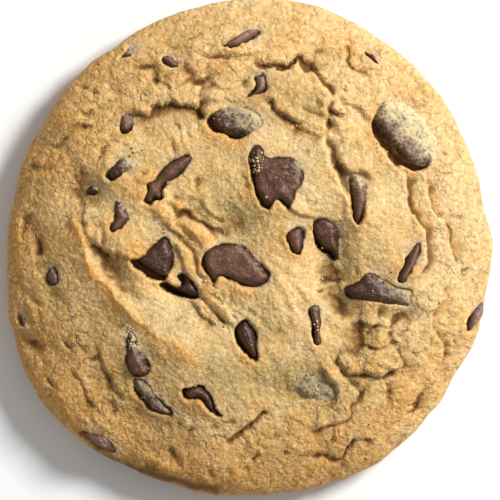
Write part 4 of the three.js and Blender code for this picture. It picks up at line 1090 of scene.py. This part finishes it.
# The set skin split into a web of hair cracks as the crumb rose under it. Real ones are 0.1 mm wide, and
# they are drawn at about 0.25 mm to be larger than a pixel.
BEND_SIZE = 1.6
bend = add_node(tree, "TexNoise", None, Vector=place, Scale=per_metre(BEND_SIZE), Detail=3.0, Roughness=0.6)
bent = add_node(
    tree, "VectorMath", {"operation": "MULTIPLY_ADD"},
    input_0=bend.outputs["Color"], input_1=[BEND_SIZE * METRES] * 3, input_2=place,
)
web = add_node(
    tree, "TexVoronoi", {"feature": "DISTANCE_TO_EDGE"},
    Vector=bent.outputs[0], Scale=per_metre(2.6), Randomness=1.0,
)
web_line = add_node(
    tree, "MapRange", None,
    Value=web.outputs["Distance"], From_Min=0.02, From_Max=0.12, To_Min=1.0, To_Max=0.0,
)
web_where = add_node(tree, "MapRange", None, Value=bend.outputs["Fac"], From_Min=0.47, From_Max=0.62)
web_part = add_node(
    tree, "Math", {"operation": "MULTIPLY"}, input_0=web_line.outputs[0], input_1=web_where.outputs[0]
)
web_share = add_node(
    tree, "Math", {"operation": "MULTIPLY", "use_clamp": True},
    input_0=web_part.outputs[0], input_1=value["cracking"],
)
# The hair cracks are drawn darker: painted shade in them.
hair_crack_shade = add_node(tree, "Math", {"operation": "MULTIPLY"}, input_0=web_share.outputs[0], input_1=0.3)

# Creases and cracks: a dark line of painted shade where the ragged distance to the nearest one is under a
# third of a millimetre.
frayed = add_node(
    tree, "MapRange", None,
    Value=speckle.outputs["Fac"], From_Min=0.3, From_Max=0.7, To_Min=-0.3, To_Max=0.3,
)
ragged_distance = add_node(
    tree, "Math", {"operation": "ADD"}, input_0=value["crease"], input_1=frayed.outputs[0]
)
off_line = add_node(tree, "Math", {"operation": "ABSOLUTE"}, input_0=ragged_distance.outputs[0])
line = add_node(
    tree, "MapRange", None, Value=off_line.outputs[0], From_Min=0.05, From_Max=0.32, To_Min=1.0, To_Max=0.0
)
line_share = add_node(
    tree, "Math", {"operation": "MULTIPLY"}, input_0=line.outputs[0], input_1=value["creased"]
)
crease_shade = add_node(tree, "Math", {"operation": "MULTIPLY"}, input_0=line_share.outputs[0], input_1=0.6)

# The colours, from the first layer up, and where each lies.
colour = linear("#dfc086")
for share, hex_colour in (
    (patched.outputs[0], "#cfa45e"),  # browning in patches
    (weight["painted_light"], "#e2c590"),  # painted light on the side and slopes towards the soft box
    (weight["rim"], "#c88d3e"),  # the browned rim, browner on its side away from the soft box: painted shade
    (weight["olive_shade"], "#a68d50"),  # olive painted shade
    (toast_and_shade_share.outputs[0], "#dd983f"),  # toasted crests and edges, and painted shade on crease walls
    (value["hollow"], "#94692c"),  # painted shade in the hollows, and the dark brown bands
    (darkest_shade_and_browning.outputs[0], "#583411"),  # and the darkest of both
    (greyed.outputs[0], "#b5a484"),  # rubbed chocolate
    (pale_grain.outputs[0], "#f0e0b8"),  # sugar and flour
    (dark_grain.outputs[0], "#a0763c"),  # browned grains
    (hair_crack_shade.outputs[0], "#96612a"),  # painted shade in the hair cracks
    (crease_shade.outputs[0], "#64400f"),  # painted shade in the creases
):
    colour = add_node(
        tree, "Mix", {"data_type": "RGBA"}, input_0=share, input_6=colour, input_7=linear(hex_colour)
    ).outputs[2]

# The finest relief: grains, rounded cobbles of crumb, and what the hair cracks and creases cut into them.
BUMP_HEIGHT = 0.3
fine_bump = add_node(tree, "TexNoise", None, Vector=place, Scale=per_metre(0.7), Detail=2.0, Roughness=0.6)
cobbles = add_node(
    tree, "TexVoronoi", {"feature": "F1"}, Vector=bent.outputs[0], Scale=per_metre(1.2), Randomness=1.0
)
height = fine_bump.outputs["Fac"]
for cut, depth in (
    (cobbles.outputs["Distance"], 0.5),
    (web_share.outputs[0], 0.55),
    (line_share.outputs[0], 0.9),
):
    height = add_node(
        tree, "Math", {"operation": "MULTIPLY_ADD"}, input_0=cut, input_1=-depth, input_2=height
    ).outputs[0]
bump = add_node(tree, "Bump", None, Strength=1.0, Distance=BUMP_HEIGHT * METRES, Height=height)
surface = add_node(
    tree, "BsdfPrincipled", None, Base_Color=colour, Roughness=0.82, IOR=1.4, Normal=bump.outputs[0]
)
add_node(tree, "OutputMaterial", None, Surface=surface.outputs[0])

baked_dough.data.materials.append(crumb_material)
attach(baked_dough, "root")
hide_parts("dough")

# The chocolate chips.
# Drops of dark chocolate that softened in the oven and set again: rounded, a little wrinkled, greyish with
# bloom. Each is a closed pillow in its mouth, squeezed up to the upper right, where the dough laps over it.
CHIP_TURNS = 72
CHIP_LEVELS = 40
CHIP_TUCK = 0.35  # how far a chip runs on under the dough
CHIP_THICKNESS = 4.2  # at most
CHIP_CROWN = 2.4  # height of its top over its flank, at most
CROWN_SHARE = 0.75  # the same for a small chip, beside its mean radius
CHIP_FLANK = 1.3  # width of its flank
CHIP_STANDS = 0.85  # how far its flank stands above the floor of its place in the dough
CHIP_ROUNDNESS = 0.75  # power of the sine by which its side bulges
WRINKLE_HEIGHT = 0.14
FILM_WRINKLES = 0.2
FIRST_SEED = 100
SEED_STEP = 20


def even_outline(outline, count):
    """The same number of points at even steps along any closed curve."""
    step = np.linalg.norm(np.diff(outline, axis=0), axis=1)
    travelled = np.concatenate([[0], np.cumsum(step)])
    wanted = np.linspace(0, travelled[-1], count, endpoint=False)
    return np.stack([np.interp(wanted, travelled, outline[:, axis]) for axis in (0, 1)], axis=-1)


def middle_of(outline):
    """Centre of the area inside a ring of points: the mean of its triangles' centres, weighted by their
    areas."""
    following = np.roll(outline, -1, axis=0)
    doubled = outline[:, 0] * following[:, 1] - outline[:, 1] * following[:, 0]
    return ((outline + following) * doubled[:, None]).sum(axis=0) / (3 * doubled.sum())


def chip_mesh(name, deep, gap, film, bloom, points, seed):
    """A cap whose height goes as the sine of the distance inside the outline, over a flank that is shorter
    and steeper at the lower left. The mouth's outline is squeezed towards its upper right by the gap, and
    at the upper right it reaches under the dough by the tuck. Also gives the mesh the film of dough on each
    point, how high up the flank it lies, and the bloom."""
    outline = even_outline(curve_through(points, closed=True), CHIP_TURNS)
    from_lit_edge = (outline @ LIGHT_SIDE).max() - outline @ LIGHT_SIDE
    outline += gap * LIGHT_SIDE * (from_lit_edge / from_lit_edge.max())[:, None]
    middle = middle_of(outline)
    spokes = outline - middle
    length = np.linalg.norm(spokes, axis=1, keepdims=True)
    towards_light = (spokes / length) @ LIGHT_SIDE
    spokes = spokes * (1 + CHIP_TUCK * (0.5 + 0.5 * towards_light)[:, None] / length)
    size = np.sqrt(np.mean(length**2))
    polar = np.linspace(0, math.pi, CHIP_LEVELS + 1)[1:-1]
    flat = middle + (np.sin(polar) ** CHIP_ROUNDNESS)[:, None, None] * spokes
    flat = np.concatenate([middle[None], flat.reshape(-1, 2), middle[None]])
    upper = np.concatenate([[1], np.repeat(np.where(np.cos(polar) > 0, 1, -1), CHIP_TURNS), [-1]])
    ring = np.vstack([middle + spokes, middle + spokes[0]])
    depth = np.maximum(depth_inside(flat[:, 0], flat[:, 1], ring), 0)
    off_middle = (flat - middle) @ LIGHT_SIDE / size
    lit_side = smooth_step(-0.7, 0.7, off_middle)
    flank = np.minimum(CHIP_FLANK * (1 + 0.5 * lit_side), depth.max())
    height = np.sin(math.pi / 2 * np.minimum(depth / flank, 1))
    angle, along = place_on_skin(flat[:, 0], flat[:, 1])
    base, facing = smooth_skin(angle, along)
    ground = broad_lift(outline[:, 0], outline[:, 1]).mean()
    crown = min(CHIP_CROWN, CROWN_SHARE * size) * (1 - 0.5 * film)
    thickness = min(CHIP_THICKNESS, 1.3 * size + 0.8)
    rise = crown * (np.where(upper > 0, height, 0) - CROWN_SHARE) - np.where(upper > 0, 0, thickness * height)
    wrinkle = (WRINKLE_HEIGHT + FILM_WRINKLES * film) * rough_noise(base, 2.6, seed, 5)
    lifted = base + facing * (ground - deep + CHIP_STANDS + rise + wrinkle)[:, None]
    loops = np.arange(CHIP_TURNS * len(polar)).reshape(len(polar), CHIP_TURNS) + 1
    quads = np.stack(
        [loops[:-1], loops[1:], np.roll(loops[1:], -1, axis=1), np.roll(loops[:-1], -1, axis=1)], axis=-1
    ).reshape(-1, 4)
    first, last = loops[0], loops[-1]
    caps = [
        np.stack([np.zeros(CHIP_TURNS, int), first, np.roll(first, -1)], axis=-1),
        np.stack([last, np.full(CHIP_TURNS, len(flat) - 1), np.roll(last, -1)], axis=-1),
    ]
    run = spokes[:, 0] @ np.roll(spokes[:, 1], -1) - spokes[:, 1] @ np.roll(spokes[:, 0], -1)
    if run < 0:
        quads = quads[:, ::-1]
        caps = [cap[:, ::-1] for cap in caps]
    ragged = 0.4 * rough_noise(base, 1.6, seed + 9, 4)
    coated = 1.2 * min(1, 0.4 + 1.5 * film) * off_middle + ragged - 1.1 + 1.7 * film
    coated = np.where(upper > 0, coated, -1)
    values = {"film": coated, "height": height * (upper > 0), "bloom": np.full(len(flat), bloom)}
    return make_mesh(name, lifted, quads, np.concatenate(caps), values)


# Dark chocolate that melted, set again and bloomed: satin, reddish brown, with cloudy grey-brown cocoa butter
# on the lit crown, painted shade on its low flank all round, and a film of dough rubbed over it on the upper
# right.
chocolate, tree = new_material("dark_chocolate_with_bloom")
place = add_node(tree, "TexCoord").outputs["Object"]
film_value, height_value, bloom_value = (
    add_node(tree, "Attribute", {"attribute_name": name}).outputs["Fac"]
    for name in ("film", "height", "bloom")
)
clouds = add_node(tree, "TexNoise", None, Vector=place, Scale=per_metre(2.4), Detail=4.0, Roughness=0.6)
specks = add_node(tree, "TexNoise", None, Vector=place, Scale=per_metre(0.6), Detail=3.0, Roughness=0.7)
cloudy = add_node(tree, "MapRange", None, Value=clouds.outputs["Fac"], From_Min=0.38, From_Max=0.66)
bloomed = add_node(
    tree, "Math", {"operation": "ADD", "use_clamp": True}, input_0=cloudy.outputs[0], input_1=bloom_value
)
violet = add_node(
    tree, "Math", {"operation": "MULTIPLY", "use_clamp": True}, input_0=bloom_value, input_1=0.6
)
# Painted shade: the low flank of each chip, near its edge, is darkened.
flank = add_node(
    tree, "MapRange", None, Value=height_value, From_Min=0.45, From_Max=0.95, To_Min=1.0, To_Max=0.0
)
dusted = add_node(
    tree, "MapRange", None, Value=specks.outputs["Fac"], From_Min=0.56, From_Max=0.72, To_Max=0.35
)

# The film of dough breaks up into crumbs at its edge. It is creamy where it is thick, greyer where it thins
# out, and muddy where chocolate is mixed into it.
crumbled = add_node(
    tree, "Math", {"operation": "MULTIPLY_ADD"},
    input_0=specks.outputs["Fac"], input_1=2.4, input_2=film_value,
)
film_share = add_node(tree, "MapRange", None, Value=crumbled.outputs[0], From_Min=0.9, From_Max=1.7)
thick = add_node(tree, "MapRange", None, Value=film_value, From_Min=-0.1, From_Max=0.9)
muddy = add_node(
    tree, "Math", {"operation": "MULTIPLY", "use_clamp": True}, input_0=bloom_value, input_1=-1.0
)
peppered = add_node(
    tree, "MapRange", None, Value=specks.outputs["Fac"], From_Min=0.5, From_Max=0.4, To_Max=0.6
)

# The colours of each, from the first layer up, and where each lies.
layered = []
for first_colour, layers in (
    ("#45261a", (
        (bloomed.outputs[0], "#714b34"),  # cloudy bloom
        (violet.outputs[0], "#a47f6e"),  # violet grey bloom
        (flank.outputs[0], "#2a150d"),  # painted shade on the low flank
        (dusted.outputs[0], "#a08067"),  # flour dust
    )),
    ("#a4917a", (
        (thick.outputs[0], "#dac695"),  # thick film
        (muddy.outputs[0], "#84745a"),  # film with chocolate in it
        (peppered.outputs[0], "#6e5a48"),  # specks of chocolate
    )),
):
    colour = linear(first_colour)
    for share, hex_colour in layers:
        colour = add_node(
            tree, "Mix", {"data_type": "RGBA"}, input_0=share, input_6=colour, input_7=linear(hex_colour)
        ).outputs[2]
    layered.append(colour)
colour = add_node(
    tree, "Mix", {"data_type": "RGBA"},
    input_0=film_share.outputs[0], input_6=layered[0], input_7=layered[1],
).outputs[2]
roughness = add_node(
    tree, "MapRange", None,
    Value=film_share.outputs[0], From_Min=0.1, From_Max=0.6, To_Min=0.36, To_Max=0.85,
)
DENT_HEIGHT = 0.17
dents = add_node(
    tree, "Math", {"operation": "MULTIPLY_ADD"}, input_0=clouds.outputs["Fac"], input_1=1.2,
    input_2=specks.outputs["Fac"],
)
bump = add_node(tree, "Bump", None, Strength=1.0, Distance=DENT_HEIGHT * METRES, Height=dents.outputs[0])
surface = add_node(
    tree, "BsdfPrincipled", None,
    Base_Color=colour, Roughness=roughness.outputs[0], IOR=1.46, Normal=bump.outputs[0],
)
add_node(tree, "OutputMaterial", None, Surface=surface.outputs[0])

chip_points = []
for number, (deep, gap, film, bloom, points) in enumerate(MOUTHS, start=1):
    seed = FIRST_SEED + SEED_STEP * number
    chip = chip_mesh(f"chocolate_{number:02d}", deep, gap, film, bloom, points, seed)
    chip.data.materials.append(chocolate)
    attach(chip, "root")
    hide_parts(f"chip_{number:02d}")
    chip_points.append(np.array([vertex.co for vertex in chip.data.vertices]) / METRES)

# The crumbs.
# Grains of dough and of chocolate that broke off at the edges of the chips and lie where they fell, baked
# on. Each is a twenty-sided lump.
CRUMB_SEED = 5
CRUMB_REACH = 0.35  # mm round a grain within which it finds the ground that it lies on
CRUMB_STANDS = 0.1  # how far a grain's middle stands above the ground, as a share of its size
CRUMB_FIELD = 0.88  # how far out loose grains lie, as a share of the mean radius
DOUGH_GRAINS = (0.1, 0.3)  # smallest and largest
CHOCOLATE_GRAINS = (0.1, 0.24)
LOOSE_DOUGH = 40
LOOSE_CHOCOLATE = 6
# middle, spread, and how many grains
DOUGH_SPOTS = [
    (1.4, 16, 0.8, 26),
    (0.8, 14.2, 0.5, 10),
    (24.2, 18.6, 0.8, 8),
    (-21.6, -17.6, 0.6, 12),
    (-22, -14.8, 0.4, 6),
    (24, -6.2, 1.6, 5),
    (11.8, -14.4, 0.6, 6),
    (12.4, -25.4, 1.2, 12),
]
CHOCOLATE_SPOTS = [
    (-22.8, -14.2, 0.6, 8),
    (-21.8, -17, 0.6, 16),
    (-19.6, -27, 1.2, 14),
    (-2.6, 24.6, 1.2, 10),
    (29, 20, 1.4, 5),
    (-20.4, 17.2, 0.7, 8),
    (24, -5.6, 1.4, 8),
    (11.6, -25.2, 1.5, 16),
    (-16, 3.4, 0.7, 6),
]


def twenty_sided():
    """Corners of an icosahedron from three crossed golden rectangles, and its faces: every three corners
    that lie an edge apart, turned to face out."""
    golden = (1 + math.sqrt(5)) / 2
    corners = []
    for one, two in itertools.product((-1, 1), repeat=2):
        corners += [(0, one, two * golden), (one, two * golden, 0), (two * golden, 0, one)]
    corners = np.array(corners) / math.hypot(1, golden)
    edge_length = min(np.linalg.norm(a - b) for a, b in itertools.combinations(corners, 2))
    faces = []
    for trio in itertools.combinations(range(12), 3):
        a, b, c = corners[list(trio)]
        sides = [np.linalg.norm(a - b), np.linalg.norm(b - c), np.linalg.norm(c - a)]
        if max(sides) < 1.1 * edge_length:
            faces.append(trio if np.cross(b - a, c - a) @ (a + b + c) > 0 else trio[::-1])
    return corners, np.array(faces)


def scattered(spots, loose, random):
    """Places in mm: some round each spot with a normal spread, and some anywhere on the top."""
    places = [random.normal((spot_x, spot_y), spread, (count, 2)) for spot_x, spot_y, spread, count in spots]
    heading = random.uniform(0, 2 * math.pi, loose)
    out = CRUMB_FIELD * MEAN_RADIUS * np.sqrt(random.uniform(0, 1, loose))
    places.append(np.stack([out * np.cos(heading), out * np.sin(heading)], axis=-1))
    return np.concatenate(places)


def crumbs(name, places, sizes, ground, random):
    """One mesh of grains, each sunk by nearly half its height into the highest ground within reach."""
    corners, faces = twenty_sided()
    smallest, largest = sizes
    points = []
    for place_x, place_y in places:
        close = np.hypot(ground[:, 0] - place_x, ground[:, 1] - place_y) < CRUMB_REACH
        size = smallest + (largest - smallest) * random.uniform() ** 2
        stretch = size * random.uniform(0.7, 1.2, (12, 3))
        height = ground[close, 2].max() + CRUMB_STANDS * size
        points.append(corners * stretch + [place_x, place_y, height])
    triangles = np.concatenate([faces + 12 * i for i in range(len(places))])
    return make_mesh(name, np.concatenate(points), np.zeros((0, 4), int), triangles, {})


random = np.random.default_rng(CRUMB_SEED)
top_ground = np.concatenate([top_points.reshape(-1, 3), *chip_points])
dough_places = scattered(DOUGH_SPOTS, LOOSE_DOUGH, random)
dough_crumbs = crumbs("dough_crumbs", dough_places, DOUGH_GRAINS, top_ground, random)
chocolate_places = scattered(CHOCOLATE_SPOTS, LOOSE_CHOCOLATE, random)
chocolate_crumbs = crumbs("chocolate_crumbs", chocolate_places, CHOCOLATE_GRAINS, top_ground, random)

# Broken dough grains: paler than the skin, since their insides show, dry and matt.
grain_material, tree = new_material("pale_dough_grain")
place = add_node(tree, "TexCoord").outputs["Object"]
grain_tone = add_node(tree, "TexNoise", None, Vector=place, Scale=per_metre(3), Detail=1.0)
grain_share = add_node(
    tree, "MapRange", None, Value=grain_tone.outputs["Fac"], From_Min=0.35, From_Max=0.65
)
colour = add_node(
    tree, "Mix", {"data_type": "RGBA"},
    input_0=grain_share.outputs[0], input_6=linear("#e6cd98"), input_7=linear("#d5ac68"),
).outputs[2]
surface = add_node(tree, "BsdfPrincipled", None, Base_Color=colour, Roughness=0.8, IOR=1.4)
add_node(tree, "OutputMaterial", None, Surface=surface.outputs[0])
dough_crumbs.data.materials.append(grain_material)
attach(dough_crumbs, "root")
chocolate_crumbs.data.materials.append(chocolate)
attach(chocolate_crumbs, "root")

# The table.
# A plain pale sheet, so wide that no view sees its edge, and a hair below the foot, so that the two never
# share a plane.
FLOOR_HALF = 6.0  # metres
FLOOR_DROP = 0.00005  # metres
floor_mesh = bpy.data.meshes.new("floor")
floor_sides = ((-1, -1), (1, -1), (1, 1), (-1, 1))
floor_corners = [(FLOOR_HALF * side_x, FLOOR_HALF * side_y, -FLOOR_DROP) for side_x, side_y in floor_sides]
floor_mesh.from_pydata(floor_corners, [], [(0, 1, 2, 3)])
floor = bpy.data.objects.new("floor", floor_mesh)
bpy.context.scene.collection.objects.link(floor)
paper, tree = new_material("matt_white_card")
surface = add_node(tree, "BsdfPrincipled", None, Base_Color=linear("#f4f4f3"), Roughness=0.9)
add_node(tree, "OutputMaterial", None, Surface=surface.outputs[0])
floor.data.materials.append(paper)

# The light.
# One soft box at the upper right, and an even white surround that fills the shadows.
KEY_DIRECTION = np.array([0.64, 0.42, 0.59])
KEY_DISTANCE = 1.2
KEY_SIZE = 0.36
KEY_POWER = 19.2
SURROUND_STRENGTH = 0.36
SURROUND_COLOUR = (1, 1, 1, 1)
key = bpy.data.lights.new("soft_box", "AREA")
key.shape = "SQUARE"
key.size = KEY_SIZE
key.energy = KEY_POWER
key_object = bpy.data.objects.new("soft_box", key)
key_object.location = KEY_DIRECTION / np.linalg.norm(KEY_DIRECTION) * KEY_DISTANCE
key_object.rotation_euler = Vector(-KEY_DIRECTION).to_track_quat("-Z", "Y").to_euler()
bpy.context.scene.collection.objects.link(key_object)
world = bpy.data.worlds.new("studio")
world.use_nodes = True
background = world.node_tree.nodes["Background"]
background.inputs["Color"].default_value = SURROUND_COLOUR
background.inputs["Strength"].default_value = SURROUND_STRENGTH
bpy.context.scene.world = world
bpy.context.scene.view_settings.view_transform = "Standard"

# The camera.
# Straight above, through a long lens, so that the frame's 500 pixels take in 91.65 mm at the cookie's
# widest.
LENS = 500.0
SENSOR = 36.0
FRAME_WIDTH = 91.65
FRAME_MIDDLE = (-0.09, -0.37)
camera = bpy.data.cameras.new("camera")
camera.lens = LENS
camera.sensor_width = SENSOR
camera_object = bpy.data.objects.new("camera", camera)
camera_height = FRAME_WIDTH * LENS / SENSOR + WIDEST_HEIGHT
camera_object.location = (FRAME_MIDDLE[0] * METRES, FRAME_MIDDLE[1] * METRES, camera_height * METRES)
bpy.context.scene.collection.objects.link(camera_object)
bpy.context.scene.camera = camera_object
